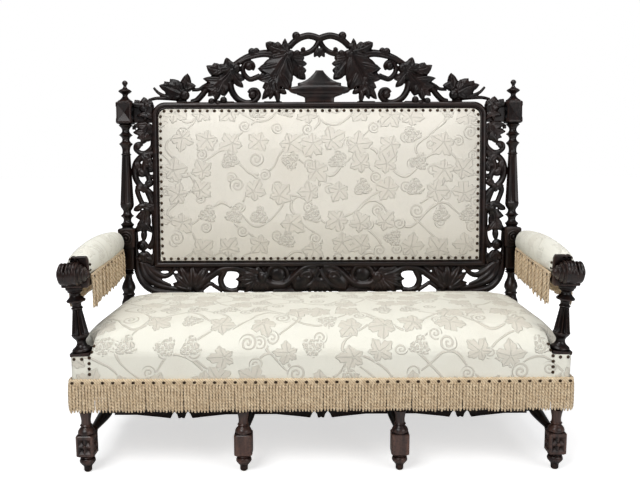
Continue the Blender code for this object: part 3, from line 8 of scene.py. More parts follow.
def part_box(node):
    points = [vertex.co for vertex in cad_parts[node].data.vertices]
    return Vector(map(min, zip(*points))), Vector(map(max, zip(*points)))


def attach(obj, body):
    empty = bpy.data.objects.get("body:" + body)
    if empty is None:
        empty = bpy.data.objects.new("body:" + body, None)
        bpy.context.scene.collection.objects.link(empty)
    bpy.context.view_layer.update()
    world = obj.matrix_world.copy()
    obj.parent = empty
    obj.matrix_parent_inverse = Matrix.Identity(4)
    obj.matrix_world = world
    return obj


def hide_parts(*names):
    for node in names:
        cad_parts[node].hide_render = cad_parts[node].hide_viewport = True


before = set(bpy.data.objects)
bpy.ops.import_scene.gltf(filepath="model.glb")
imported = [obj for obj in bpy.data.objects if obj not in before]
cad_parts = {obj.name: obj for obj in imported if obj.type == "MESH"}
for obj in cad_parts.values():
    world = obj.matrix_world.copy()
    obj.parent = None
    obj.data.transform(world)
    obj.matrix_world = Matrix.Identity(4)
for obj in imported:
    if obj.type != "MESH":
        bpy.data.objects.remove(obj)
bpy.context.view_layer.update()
fullTurn = 2 * math.pi
print("frame loaded")


# small helpers
def middle(node):
    low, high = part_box(node)
    return (low + high) / 2


def clearSelection():
    if bpy.context.mode != "OBJECT":
        bpy.ops.object.mode_set(mode="OBJECT")
    bpy.ops.object.select_all(action="DESELECT")


def pick(piece):
    clearSelection()
    piece.select_set(True)
    bpy.context.view_layer.objects.active = piece


def applyModifier(piece, kind, **values):
    modifier = piece.modifiers.new(kind.lower(), kind)
    for key, value in values.items():
        setattr(modifier, key, value)
    pick(piece)
    bpy.ops.object.modifier_apply(modifier=modifier.name)


def editAll(piece, *steps):
    pick(piece)
    bpy.ops.object.mode_set(mode="EDIT")
    bpy.ops.mesh.select_all(action="SELECT")
    for step, values in steps:
        step(**values)
    bpy.ops.object.mode_set(mode="OBJECT")


outward = (bpy.ops.mesh.normals_make_consistent, {"inside": False})


def fixNormals(piece, near=0.00002):
    editAll(piece, (bpy.ops.mesh.remove_doubles, {"threshold": near}), outward)


def cutAway(piece, point, normal):
    editAll(piece, (bpy.ops.mesh.bisect, {"plane_co": point, "plane_no": normal,
                                          "clear_inner": True, "use_fill": True}))


def cutOut(piece, cutter):
    applyModifier(piece, "BOOLEAN", operation="DIFFERENCE", solver="EXACT", object=cutter)
    bpy.data.objects.remove(cutter)


def joinPieces(name, parts):
    clearSelection()
    for part in parts:
        part.select_set(True)
    bpy.context.view_layer.objects.active = parts[0]
    bpy.ops.object.transform_apply(location=True, rotation=True, scale=True)
    bpy.ops.object.join()
    parts[0].name = name
    return parts[0]


def makeMesh(name, verts, faces, uvs=None):
    mesh = bpy.data.meshes.new(name)
    mesh.from_pydata([tuple(v) for v in verts], [], faces)
    if uvs is not None:
        layer = mesh.uv_layers.new(name="clothMap")
        layer.data.foreach_set("uv", np.asarray(uvs, dtype=np.float32).ravel())
    piece = bpy.data.objects.new(name, mesh)
    bpy.context.scene.collection.objects.link(piece)
    return piece


def moveMesh(piece, matrix):
    piece.data.transform(matrix)
    piece.data.update()
    return piece


def newRing(matrix, radius, thick, segments):
    clearSelection()
    bpy.ops.mesh.primitive_torus_add(major_radius=radius, minor_radius=thick,
                                     major_segments=segments, minor_segments=10)
    return moveMesh(bpy.context.object, matrix)


def newBead(matrix, radius, segments=16, rings=10):
    clearSelection()
    bpy.ops.mesh.primitive_uv_sphere_add(segments=segments, ring_count=rings, radius=radius)
    return moveMesh(bpy.context.object, matrix)


def copyPiece(piece, name, matrix):
    twin = piece.copy()
    twin.data = piece.data.copy()
    twin.name = name
    bpy.context.scene.collection.objects.link(twin)
    return moveMesh(twin, matrix)


def mirrorCopy(piece, name):
    twin = copyPiece(piece, name, Matrix.Diagonal((-1, 1, 1, 1)))
    twin.data.flip_normals()
    return twin


def finishPiece(piece, material, nodes, angle=35):
    pick(piece)
    bpy.ops.object.transform_apply(location=True, rotation=True, scale=True)
    if angle:
        bpy.ops.object.shade_smooth_by_angle(angle=math.radians(angle))
    else:
        bpy.ops.object.shade_smooth()
    piece.data.materials.clear()
    piece.data.materials.append(material)
    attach(piece, "root")
    if nodes:
        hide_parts(*nodes)


def finishPair(piece, material, node, angle=35):     # right piece and its mirrored twin
    twin = mirrorCopy(piece, piece.name.replace("Right", "Left"))
    finishPiece(piece, material, [node + "_right"], angle)
    finishPiece(twin, material, [node + "_left"], angle)
    return {"right": piece, "left": twin}


# the frame's own places
place = {
    "legX": middle("front_leg_outer_right").x,
    "innerX": middle("front_leg_inner_right").x,
    "legY": middle("front_leg_outer_right").y,
    "railTop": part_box("front_leg_outer_right")[1].z,
    "railLow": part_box("seat_rail_front")[0].z,
    "lean": math.radians(4),
}
place["postY"] = 2 * middle("seat_rail_right").y - place["legY"]
backMatrix = (Matrix.Translation((0, place["postY"], place["railTop"]))
              @ Matrix.Rotation(-place["lean"], 4, "X"))
boardMatrix = backMatrix @ Matrix.Rotation(math.pi / 2, 4, "X")   # drawn flat, then stood up

# heights on the leaning back, counted from the seat rail's top
heights = {"panelLow": 0.1807, "panelHigh": 0.8405, "panelHalf": 0.6684, "blockHigh": 0.842}


# shader helpers
def feed(tree, value, socket):
    if isinstance(value, (int, float, tuple)):
        socket.default_value = value
    else:
        tree.links.new(value, socket)


def wire(tree, node, values):
    for key, value in values.items():
        feed(tree, value, node.inputs[key])
    return node


def addNode(tree, kind, values=None, **settings):
    node = tree.nodes.new("ShaderNode" + kind)
    for key, value in settings.items():
        setattr(node, key, value)
    return wire(tree, node, values or {})


def newGroup(name, inputs, outputs):
    group = bpy.data.node_groups.new(name, "ShaderNodeTree")
    for way, sockets in (("INPUT", inputs), ("OUTPUT", outputs)):
        for label, kind in sockets.items():
            group.interface.new_socket(label, in_out=way, socket_type="NodeSocket" + kind)
    return group, group.nodes.new("NodeGroupInput").outputs, group.nodes.new("NodeGroupOutput")


def calc(tree, operation, *values):
    return addNode(tree, "Math", dict(enumerate(values)), operation=operation).outputs[0]


def times(tree, first, *others):
    for other in others:
        first = calc(tree, "MULTIPLY", first, other)
    return first


def ramp(tree, value, low, high, fromValue=0.0, toValue=1.0):
    values = dict(enumerate((value, low, high, fromValue, toValue)))
    return addNode(tree, "MapRange", values, interpolation_type="SMOOTHSTEP").outputs[0]


def blend(tree, factor, first, second, kind="MIX"):
    return addNode(tree, "Mix", {0: factor, 6: first, 7: second}, data_type="RGBA",
                   blend_type=kind).outputs[2]


def vectorMath(tree, operation, *values):
    return addNode(tree, "VectorMath", dict(enumerate(values)), operation=operation).outputs[0]


def noiseTexture(tree, vector, scale, detail=3.0, rough=0.55, distortion=0.0):
    values = {"Vector": vector, "Scale": scale, "Detail": detail, "Roughness": rough,
              "Distortion": distortion}
    return addNode(tree, "TexNoise", values).outputs


def ownSpace(tree):
    return addNode(tree, "TexCoord").outputs["Object"]


def clothSpace(tree):
    return addNode(tree, "UVMap", uv_map="clothMap").outputs[0]


def separate(tree, vector, kind="SeparateXYZ"):
    return addNode(tree, kind, {0: vector}).outputs


def useGroup(tree, group, **values):
    return wire(tree, addNode(tree, "Group", node_tree=group), values).outputs


def newMaterial(name):
    material = bpy.data.materials.new(name)
    material.use_nodes = True
    return material, material.node_tree, material.node_tree.nodes["Principled BSDF"]


def bumpNode(tree, height, strength, distance):
    values = {"Strength": strength, "Distance": distance, "Height": height}
    return addNode(tree, "Bump", values).outputs["Normal"]


# dark oak: grain, worn edges, painted shade in the hollows
oakTones = {"pore": (0.0036, 0.0021, 0.0020, 1), "grain": (0.0170, 0.0080, 0.0062, 1),
            "blotch": (0.028, 0.0112, 0.0080, 1), "worn": (0.075, 0.031, 0.020, 1)}


def oakGroup():
    group, given, sink = newGroup(
        "agedOak", {"Along": "Vector", "Wear": "Float", "Tint": "Color"},
        {"Color": "Color", "Roughness": "Float", "ShadedCoat": "Float", "Height": "Float"})
    spot = ownSpace(group)
    grain = noiseTexture(group, vectorMath(group, "MULTIPLY", spot, given["Along"]), 60, 4, 0.6, 0.4)
    blotch = noiseTexture(group, spot, 9, 3, 0.6)
    fine = noiseTexture(group, spot, 160, 2, 0.5)
    tone = blend(group, ramp(group, grain["Fac"], 0.35, 0.68), oakTones["pore"], oakTones["grain"])
    tone = blend(group, ramp(group, blotch["Fac"], 0.50, 0.75, 0.0, 0.4), tone, oakTones["blotch"])
    pointed = addNode(group, "NewGeometry").outputs["Pointiness"]
    worn = times(group, ramp(group, pointed, 0.515, 0.60), ramp(group, fine["Fac"], 0.30, 0.62),
                 given["Wear"])
    color = blend(group, worn, tone, oakTones["worn"])
    # painted shade: concave hollows darken the colour, occluded carving darkens the colour and lowers the
    # coat weight
    hollow = ramp(group, pointed, 0.40, 0.49, 0.35, 1.0)
    sky = addNode(group, "AmbientOcclusion", {"Distance": 0.045}, samples=6).outputs["AO"]
    clear = ramp(group, sky, 0.32, 1.0)                           # painted shade in the deep carving, from ambient occlusion
    shade = times(group, hollow, calc(group, "MULTIPLY_ADD", clear, 0.75, 0.25))
    tinted = blend(group, 1.0, color, given["Tint"], "MULTIPLY")
    rough = calc(group, "ADD", ramp(group, grain["Fac"], 0.3, 0.7, 0.23, 0.34),
                 times(group, blotch["Fac"], 0.06))
    wire(group, sink, {"Color": blend(group, 1.0, tinted, shade, "MULTIPLY"), "Roughness": rough,
                       "ShadedCoat": calc(group, "MULTIPLY_ADD", clear, 0.64, 0.04),
                       "Height": grain["Fac"]})
    return group


def oakMaterial(name, along, wear, bump, tint=(1, 1, 1, 1), shine=1.0):
    material, tree, shader = newMaterial(name)
    oak = useGroup(tree, oakShades, Along=along, Wear=wear, Tint=tint)
    wire(tree, shader, {"Base Color": oak["Color"], "Roughness": oak["Roughness"],
                        "Normal": bumpNode(tree, oak["Height"], bump, 0.0006),
                        "Coat Weight": times(tree, oak["ShadedCoat"], shine),
                        "Coat Roughness": 0.30, "Specular IOR Level": 0.02})
    return material


# cream cloth: leaf and vine pattern, tone on tone, drawn in metres
weave = {"cell": 0.104, "edge": 0.0024, "wander": 0.036, "vine": 0.0046, "curl": 0.128,
         "lobes": 5, "teeth": 15, "berries": 0.034, "tendril": 0.030, "smallTendril": 0.024,
         "vines": [(0, 1, 0.052, 0.29, 0.205), (1, 0, 0.056, 0.25, 0.245)]}   # axes, swing, length, gap


def polar(group, u, v):
    square = calc(group, "ADD", times(group, u, u), times(group, v, v))
    return calc(group, "SQRT", square), calc(group, "ARCTAN2", v, u)


def motifGroup(name):
    return newGroup(name, {"U": "Float", "V": "Float", "Size": "Float", "Turn": "Float"},
                    {"Mask": "Float", "Halo": "Float"})


def leafGroup():
    group, given, sink = motifGroup("clothLeaf")
    radius, angle = polar(group, given["U"], given["V"])
    angle = calc(group, "SUBTRACT", angle, given["Turn"])
    lobe = math.pi / weave["lobes"]
    fold = calc(group, "PINGPONG", angle, lobe)                   # nought at each lobe's tip
    share = calc(group, "POWER", calc(group, "DIVIDE", fold, lobe), 1.55)
    tooth = times(group, calc(group, "PINGPONG", angle, math.pi / weave["teeth"]), 0.55)
    reach = calc(group, "SUBTRACT", calc(group, "MULTIPLY_ADD", share, -0.40, 1.0), tooth)
    longer = calc(group, "MULTIPLY_ADD", calc(group, "COSINE", angle), 0.21, 0.87)
    gap = calc(group, "SUBTRACT", times(group, reach, longer, given["Size"]), radius)
    vein = calc(group, "ABSOLUTE", calc(group, "SINE", times(group, angle, weave["lobes"] / 2)))
    pale = ramp(group, times(group, vein, radius), 0.0010, 0.0036, 0.30, 1.0)
    wire(group, sink, {"Mask": times(group, ramp(group, gap, -0.0008, weave["edge"]), pale),
                       "Halo": ramp(group, gap, -0.0065, -0.0040)})
    return group


def spiralGroup():
    group, given, sink = motifGroup("clothTendril")
    radius, angle = polar(group, given["U"], given["V"])
    turns = calc(group, "DIVIDE", calc(group, "ADD", angle, given["Turn"]), fullTurn)
    rings = calc(group, "DIVIDE", radius, times(group, given["Size"], 0.52))
    phase = calc(group, "FRACT", calc(group, "SUBTRACT", rings, turns))
    offset = calc(group, "ABSOLUTE", calc(group, "SUBTRACT", phase, 0.5))
    line = ramp(group, offset, 0.13, 0.24, 1.0, 0.0)
    room = calc(group, "SUBTRACT", given["Size"], radius)
    wire(group, sink, {"Mask": times(group, line, ramp(group, room, 0.0, 0.003)),
                       "Halo": ramp(group, room, -0.004, 0.0)})
    return group


def berryGroup():
    group, given, sink = motifGroup("clothBerries")
    spot = addNode(group, "CombineXYZ", {0: given["U"], 1: given["V"]}).outputs[0]
    dots = addNode(group, "TexVoronoi", {"Vector": spot, "Scale": 92, "Randomness": 0.62},
                   voronoi_dimensions="2D").outputs["Distance"]
    bead = ramp(group, dots, 0.32, 0.50, 1.0, 0.0)
    radius, angle = polar(group, given["U"], given["V"])
    wave = calc(group, "SINE", calc(group, "ADD", times(group, angle, 3.0), given["Turn"]))
    lump = calc(group, "MULTIPLY_ADD", wave, 0.006, given["Size"])
    room = calc(group, "SUBTRACT", lump, radius)
    wire(group, sink, {"Mask": times(group, bead, ramp(group, room, 0.0, 0.004)),
                       "Halo": ramp(group, room, -0.005, 0.0)})
    return group


def cellField(group, vector, size, loose):     # place inside each cell, and the cell's own luck
    cells = addNode(group, "TexVoronoi", {"Vector": vector, "Scale": 1 / size, "Randomness": loose},
                    voronoi_dimensions="2D").outputs
    here = separate(group, vectorMath(group, "SUBTRACT", vector, cells["Position"]))
    luck = separate(group, cells["Color"], "SeparateColor")
    return here, luck, times(group, luck[0], fullTurn)


def clothGroup():
    group, given, sink = newGroup("leafAndVine", {"Vector": "Vector"}, {"Mask": "Float"})
    vector = given["Vector"]
    here, luck, turn = cellField(group, vector, weave["cell"], 0.55)
    size = calc(group, "MULTIPLY_ADD", luck[2], 0.014, 0.050)
    spiral = spiralGroup()
    kinds = [(leafGroup(), size, -1.0, 0.64), (berryGroup(), weave["berries"], 0.64, 0.90),
             (spiral, weave["tendril"], 0.90, 2.0)]
    mask, halo = 0.0, 0.0
    for motif, wide, low, high in kinds:
        figure = useGroup(group, motif, U=here[0], V=here[1], Size=wide, Turn=turn)
        chosen = times(group, calc(group, "GREATER_THAN", luck[1], low),
                       calc(group, "LESS_THAN", luck[1], high))
        mask = calc(group, "MULTIPLY_ADD", chosen, figure["Mask"], mask)
        halo = calc(group, "MULTIPLY_ADD", chosen, figure["Halo"], halo)
    wobble = noiseTexture(group, vector, 6.0, 1, 0.5)["Color"]
    far = 2 * weave["wander"]
    parts = separate(group, vectorMath(group, "MULTIPLY_ADD", wobble, (far, far, 0), vector))
    vines = 0.0
    for a, b, swing, length, gap in weave["vines"]:
        wave = times(group, calc(group, "SINE", times(group, parts[a], fullTurn / length)), swing)
        off = calc(group, "WRAP", calc(group, "SUBTRACT", parts[b], wave), gap / 2, -gap / 2)
        line = ramp(group, calc(group, "ABSOLUTE", off), weave["vine"] - 0.0016,
                    weave["vine"] + 0.0014, 1.0, 0.0)
        vines = calc(group, "MAXIMUM", vines, line)
    # small tendrils fill the ground between the motifs
    there, chance, turn = cellField(group, vector, weave["curl"], 0.8)
    curl = useGroup(group, spiral, U=there[0], V=there[1], Size=weave["smallTendril"], Turn=turn)
    line = calc(group, "SUBTRACT", 1.0, curl["Halo"])
    vines = calc(group, "MULTIPLY_ADD", vines, line, curl["Mask"])
    free = calc(group, "SUBTRACT", 1.0, halo)
    wire(group, sink, {"Mask": calc(group, "MULTIPLY_ADD", vines, free, mask)})
    return group


def clothMaterial(name, ground, motif, depth, relief):
    material, tree, shader = newMaterial(name)
    cloth = clothSpace(tree)
    figure = useGroup(tree, leafAndVine, Vector=cloth)["Mask"]
    soil = noiseTexture(tree, ownSpace(tree), 3.5, 3, 0.6)["Fac"]
    base = blend(tree, times(tree, figure, depth), ground + (1,), motif + (1,))
    color = blend(tree, ramp(tree, soil, 0.45, 0.75, 0.0, 0.25), base, (0.66, 0.60, 0.50, 1))
    threads = addNode(tree, "TexWave", {"Scale": 260, "Vector": cloth}, wave_type="BANDS",
                      bands_direction="DIAGONAL").outputs["Fac"]
    height = calc(tree, "MULTIPLY_ADD", threads, 0.06, figure)
    wire(tree, shader, {"Base Color": color, "Roughness": ramp(tree, figure, 0, 1, 0.55, 0.80),
                        "Normal": bumpNode(tree, height, 1.0, relief), "Sheen Weight": 0.12,
                        "Specular IOR Level": 0.35})
    return material


# fringe: twisted plies, with painted shade in the creases
def fringeMaterial(name, creaseShade, plies):
    material, tree, shader = newMaterial(name)
    parts = separate(tree, clothSpace(tree))
    twist = calc(tree, "FRACT", calc(tree, "MULTIPLY_ADD", parts[1], plies,
                                     times(tree, parts[0], 2.0)))
    ridge = calc(tree, "SINE", times(tree, twist, math.pi))
    mottle = noiseTexture(tree, ownSpace(tree), 45, 3, 0.6)["Fac"]
    base = blend(tree, ramp(tree, mottle, 0.35, 0.7), (0.66, 0.505, 0.325, 1),
                 (0.80, 0.645, 0.440, 1))
    # painted shade: the creases of the twist darken towards brown
    color = blend(tree, ramp(tree, ridge, 0.05, 0.60, creaseShade, 0.0), base, (0.250, 0.155, 0.080, 1))
    wire(tree, shader, {"Base Color": color, "Normal": bumpNode(tree, ridge, 0.9, 0.0014),
                        "Roughness": 0.80, "Sheen Weight": 0.15, "Specular IOR Level": 0.25})
    return material


def plainWeave(name, light, dark, scale):
    material, tree, shader = newMaterial(name)
    spot = vectorMath(tree, "MULTIPLY", ownSpace(tree), (1, 1, 0.25))
    check = noiseTexture(tree, spot, scale, 2, 0.5)["Fac"]
    color = blend(tree, ramp(tree, check, 0.35, 0.65), dark + (1,), light + (1,))
    wire(tree, shader, {"Base Color": color, "Normal": bumpNode(tree, check, 0.4, 0.0008),
                        "Roughness": 0.85})
    return material


def metalMaterial(name, color, rough):
    material, tree, shader = newMaterial(name)
    stain = noiseTexture(tree, ownSpace(tree), 120, 3, 0.6)["Fac"]
    darker = tuple(0.45 * c for c in color)
    mixed = blend(tree, ramp(tree, stain, 0.35, 0.65), darker + (1,), color + (1,))
    wire(tree, shader, {"Base Color": mixed, "Metallic": 1.0,
                        "Roughness": ramp(tree, stain, 0.3, 0.7, rough - 0.08, rough + 0.12)})
    return material


upright, lengthwise, sideways, carved = (1, 1, 0.12), (1, 0.12, 1), (0.12, 1, 1), (0.35, 1, 0.35)
oakShades = oakGroup()
darkOak = oakMaterial("darkOak", upright, 0.35, 0.35)
# leg oak: its tint lightens the colour about five times, partly for wear and partly as painted fill light
# from the floor
legOak = oakMaterial("legOak", upright, 0.15, 0.35, (4.5, 5.0, 5.0, 1))
armOak = oakMaterial("armOak", lengthwise, 0.7, 0.35, (1.30, 1.35, 1.35, 1))
crossOak = oakMaterial("crossOak", sideways, 0.45, 0.35)
carvedOak = oakMaterial("carvedOak", carved, 0.75, 0.30)
crestOak = oakMaterial("crestOak", carved, 0.75, 0.30, (0.75, 0.75, 0.78, 1), 0.68)
leafAndVine = clothGroup()
# one cloth in three copies: the seat and arm grounds are lighter with a deeper motif as painted top light
# and satin sheen, the back's ground is darker as painted shade
backShadedLook = clothMaterial("creamBackShaded", (0.715, 0.681, 0.603), (0.605, 0.560, 0.490), 0.44, 0.0038)
seatLitLook = clothMaterial("creamSeatLit", (0.785, 0.768, 0.672), (0.615, 0.572, 0.488), 0.76, 0.0030)
armLitLook = clothMaterial("creamArmLit", (0.815, 0.800, 0.705), (0.720, 0.690, 0.600), 0.55, 0.0022)
bullion = fringeMaterial("bullionFringe", 0.52, 118.0)
bullionCord = fringeMaterial("bullionCord", 0.66, 92.0)
linen = plainWeave("linenBack", (0.55, 0.50, 0.41), (0.42, 0.37, 0.29), 420)
jute = plainWeave("juteWebbing", (0.42, 0.30, 0.17), (0.27, 0.18, 0.10), 300)
steel = metalMaterial("springWire", (0.36, 0.34, 0.32), 0.42)
bronze = metalMaterial("nailBronze", (0.085, 0.058, 0.040), 0.40)
brass = metalMaterial("glideBrass", (0.42, 0.30, 0.12), 0.45)
print("materials ready")


# lofts for turned and square timber
def loftFaces(rows, count, start=0, closed=False):
    faces = []
    for i in range(rows if closed else rows - 1):
        a, b = start + i * count, start + (i + 1) % rows * count
        for k in range(count):
            n = (k + 1) % count
            faces.append((a + k, a + n, b + n, b + k))
    if not closed:
        faces.append(tuple(start + k for k in reversed(range(count))))
        faces.append(tuple(start + (rows - 1) * count + k for k in range(count)))
    return faces


def loftRings(name, rings, closed=False):
    verts = [v for ring in rings for v in ring]
    piece = makeMesh(name, verts, loftFaces(len(rings), len(rings[0]), 0, closed))
    fixNormals(piece)
    return piece


def smoothProfile(points, steps=5):               # height, radius, 1 where the line breaks
    out = []
    for i in range(len(points) - 1):
        before, (h0, r0, s0), (h1, r1, s1) = points[max(i - 1, 0)], points[i], points[i + 1]
        after = points[min(i + 2, len(points) - 1)]
        a, b = Vector((h0, r0)), Vector((h1, r1))
        m0 = b - a if s0 or i == 0 else (b - Vector(before[:2])) / 2
        m1 = b - a if s1 or i + 2 >= len(points) else (Vector(after[:2]) - a) / 2
        few = 1 if s0 and s1 else steps
        for k in range(few):
            t = k / few
            p = (a * (2 * t**3 - 3 * t**2 + 1) + m0 * (t**3 - 2 * t**2 + t)
                 + b * (3 * t**2 - 2 * t**3) + m1 * (t**3 - t**2))
            out.append((p[0], max(p[1], 0.0004)))
    out.append(points[-1][:2])
    return out


def ringPoints(size, square, sides, chamfer=0.004, flutes=8, depth=0.0):
    ring = []
    for k in range(sides):
        a = fullTurn * k / sides
        c, s = math.cos(a), math.sin(a)
        if square:
            scale = size / max(abs(c), abs(s))
            x, y = c * scale, s * scale
            limit = 2 * size - chamfer
            spread = abs(x) + abs(y)
            if spread > limit:
                x, y = x * limit / spread, y * limit / spread
        else:
            r = size * (1 - depth * abs(math.sin(flutes * a / 2)))
            x, y = c * r, s * r
        ring.append((x, y))
    return ring


fluteEnds = ((0, 0), (0.03, 0.7), (0.06, 1), (0.3, 1), (0.6, 1), (0.94, 1), (0.97, 0.7), (1, 0))


def timber(name, runs, spot, sides=64):
    rings = []
    for kind, points, *more in runs:
        if kind == "round":
            rows = [(h, ringPoints(r, False, sides)) for h, r in smoothProfile(points)]
        elif kind == "square":
            rows = [(h, ringPoints(r, True, sides, *more)) for h, r in points]
        else:                                       # fluted run, the flutes die out at its ends
            (h0, r0), (h1, r1) = points
            flutes, depth = more
            rows = [(h0 + (h1 - h0) * t,
                     ringPoints(r0 + (r1 - r0) * t, False, sides, 0, flutes, depth * share))
                    for t, share in fluteEnds]
        rings += [[spot(x, y, h) for x, y in row] for h, row in rows]
    return loftRings(name, rings)


def cutFacet(piece, centre, turn, half, deep, matrix=Matrix()):
    clearSelection()
    bpy.ops.mesh.primitive_cone_add(vertices=4, radius1=1, depth=1, location=(0, 0, 0))
    wide = math.sqrt(2)
    shape = (Matrix.Translation(centre) @ turn
             @ Matrix.Diagonal((wide * half[0], wide * half[1], deep, 1))
             @ Matrix.Rotation(math.pi / 4, 4, "Z")
             @ Matrix.Translation((0, 0, 0.5)))             # base on the face, tip in the wood
    cutOut(piece, moveMesh(bpy.context.object, matrix @ shape))


# four ways for a block's faces: the cone's tip looks into the wood
faceTurns = [(Vector((0, -1, 0)), Matrix.Rotation(-math.pi / 2, 4, "X")),
             (Vector((0, 1, 0)), Matrix.Rotation(math.pi / 2, 4, "X")),
             (Vector((1, 0, 0)), Matrix.Rotation(-math.pi / 2, 4, "Y")),
             (Vector((-1, 0, 0)), Matrix.Rotation(math.pi / 2, 4, "Y"))]


# back posts
postShape = {
    "leg": [(0.0, 0.020), (0.10, 0.0225), (0.225, 0.0285), (0.262, 0.030)],
    "splay": 0.032,
    "rail": [(0.0, 0.030), (0.012, 0.030)],
    "low": [(0.012, 0.0292, 1), (0.040, 0.0275, 0), (0.055, 0.0225, 0), (0.066, 0.0215, 1),
            (0.0722, 0.0262, 1), (0.078, 0.0205, 1), (0.085, 0.0222, 0), (0.0962, 0.0270, 0),
            (0.112, 0.0243, 0), (0.133, 0.0155, 0), (0.147, 0.0143, 1), (0.152, 0.0165, 1),
            (0.157, 0.0245, 1), (0.1615, 0.0172, 1), (0.166, 0.0245, 1), (0.1705, 0.0190, 1),
            (0.1734, 0.0235, 1)],
    "armBlock": [(0.1734, 0.0262), (0.1765, 0.028), (0.2579, 0.028), (0.2640, 0.033),
                 (0.3345, 0.033), (0.3388, 0.0295)],
    "rings": [(0.3388, 0.0250, 1), (0.3440, 0.0205, 1), (0.3549, 0.0272, 1), (0.3625, 0.0180, 0),
              (0.3720, 0.0148, 0), (0.3815, 0.0180, 0), (0.3890, 0.0272, 1), (0.3955, 0.0190, 0),
              (0.4040, 0.0155, 0), (0.4110, 0.0165, 0), (0.4230, 0.0240, 0), (0.4350, 0.0270, 1)],
    "shaft": [(0.4360, 0.0272), (0.6290, 0.0172)],
    "high": [(0.6300, 0.0160, 1), (0.6345, 0.0198, 0), (0.6385, 0.0160, 1), (0.6500, 0.0150, 0),
             (0.6640, 0.0178, 0), (0.6766, 0.0270, 1), (0.6850, 0.0175, 0), (0.6940, 0.0142, 0),
             (0.7035, 0.0175, 0), (0.7117, 0.0270, 1), (0.7200, 0.0175, 0), (0.7300, 0.0142, 0),
             (0.7400, 0.0175, 0), (0.7498, 0.0270, 1), (0.7560, 0.0200, 1)],
    "topBlock": [(0.7560, 0.0295), (0.7600, 0.033), (0.8380, 0.033), (0.8420, 0.0295)],
    "flutes": (8, 0.20),
    "chamfers": {"leg": 0.008, "rail": 0.006, "armBlock": 0.006, "topBlock": 0.010},
    "facet": {"z": 0.799, "out": 0.0331, "half": (0.0265, 0.0345), "deep": 0.0125},
    "roundel": {"z": 0.300, "out": 0.0332, "rings": [(0.0235, 0.0042), (0.0140, 0.0040)],
                "bead": 0.0075, "sunk": 0.0007},
}


def makePost():
    shape = postShape
    facet, roundel = shape["facet"], shape["roundel"]

    def spot(x, y, h):
        if h >= 0:
            return backMatrix @ Vector((place["legX"] + x, y, h))
        z = place["railTop"] + h                    # below the rail the leg stands and splays back
        slide = shape["splay"] * max(0.0, 1 - z / place["railLow"])
        return Vector((place["legX"] + x, place["postY"] + y + slide, z))

    leg = [(z - place["railTop"], r) for z, r in shape["leg"]] + [(-0.002, 0.030)]
    eased = shape["chamfers"]
    runs = [("square", leg, eased["leg"]), ("square", shape["rail"], eased["rail"]),
            ("round", shape["low"]), ("square", shape["armBlock"], eased["armBlock"]),
            ("round", shape["rings"]), ("flutes", shape["shaft"], *shape["flutes"]),
            ("round", shape["high"]), ("square", shape["topBlock"], eased["topBlock"])]
    post = timber("postRight", runs, spot)
    centre = Vector((place["legX"], 0, facet["z"]))
    for out, turn in faceTurns:
        cutFacet(post, centre + out * facet["out"], turn, facet["half"], facet["deep"], backMatrix)
    # roundel on the front of the arm block
    front = backMatrix @ Matrix.Translation((place["legX"], -roundel["out"], roundel["z"]))
    parts = [post] + [newRing(front @ Matrix.Rotation(math.pi / 2, 4, "X"), radius, thick, 40)
                      for radius, thick in roundel["rings"]]
    parts.append(newBead(front @ Matrix.Translation((0, roundel["sunk"], 0)), roundel["bead"]))
    return joinPieces("postRight", parts)


finishPair(makePost(), darkOak, "back_post", 18)
print("posts done")


# things spun on an axis
def spinProfile(name, profile, steps=40):
    clearSelection()
    bpy.ops.mesh.primitive_plane_add(size=0.001, location=(0, 0, 0))
    piece = bpy.context.object
    piece.name = name
    bpy.ops.object.mode_set(mode="EDIT")
    bpy.ops.mesh.select_all(action="SELECT")
    bpy.ops.mesh.merge(type="CENTER")
    here = Vector((0, 0, 0))
    for i, (h, r) in enumerate(profile):
        there = Vector((r, 0, h))
        if i == 0:
            bpy.ops.transform.translate(value=there - here)
        else:
            bpy.ops.mesh.extrude_vertices_move(TRANSFORM_OT_translate={"value": there - here})
        here = there
    bpy.ops.mesh.select_all(action="SELECT")
    bpy.ops.mesh.spin(steps=steps, angle=fullTurn, center=(0, 0, 0), axis=(0, 0, 1))
    bpy.ops.object.mode_set(mode="OBJECT")
    fixNormals(piece)
    return piece


finialShape = [(0.0005, 0.0, 1), (0.0005, 0.0290, 1), (0.0045, 0.0290, 1), (0.0075, 0.0235, 1),
               (0.0135, 0.0165, 0), (0.0230, 0.0100, 0), (0.0310, 0.0118, 0), (0.0380, 0.0215, 0),
               (0.0430, 0.0264, 1), (0.0478, 0.0215, 0), (0.0530, 0.0120, 0), (0.0600, 0.0066, 0),
               (0.0655, 0.0064, 1), (0.0690, 0.0088, 0), (0.0755, 0.0112, 0), (0.0815, 0.0085, 0),
               (0.0850, 0.0040, 0), (0.0860, 0.0, 1)]
finial = spinProfile("finialRight", smoothProfile(finialShape, 4))
moveMesh(finial, backMatrix @ Matrix.Translation((place["legX"], 0, heights["blockHigh"])))
finishPair(finial, darkOak, "finial")


# moulded frame round the padded back
frameShape = {"share": 1.20, "cornerTop": 0.054, "cornerLow": 0.006, "arc": 10,
              "section": [(0.000, 0.018), (0.000, -0.008), (0.0022, -0.0130), (0.0060, -0.0162),
                          (0.0100, -0.0170), (0.0136, -0.0160), (0.0156, -0.0138),
                          (0.0164, -0.0122), (0.0178, -0.0122), (0.0188, -0.0142),
                          (0.0202, -0.0147), (0.0213, -0.0134), (0.0218, -0.0100),
                          (0.0218, 0.018)]}


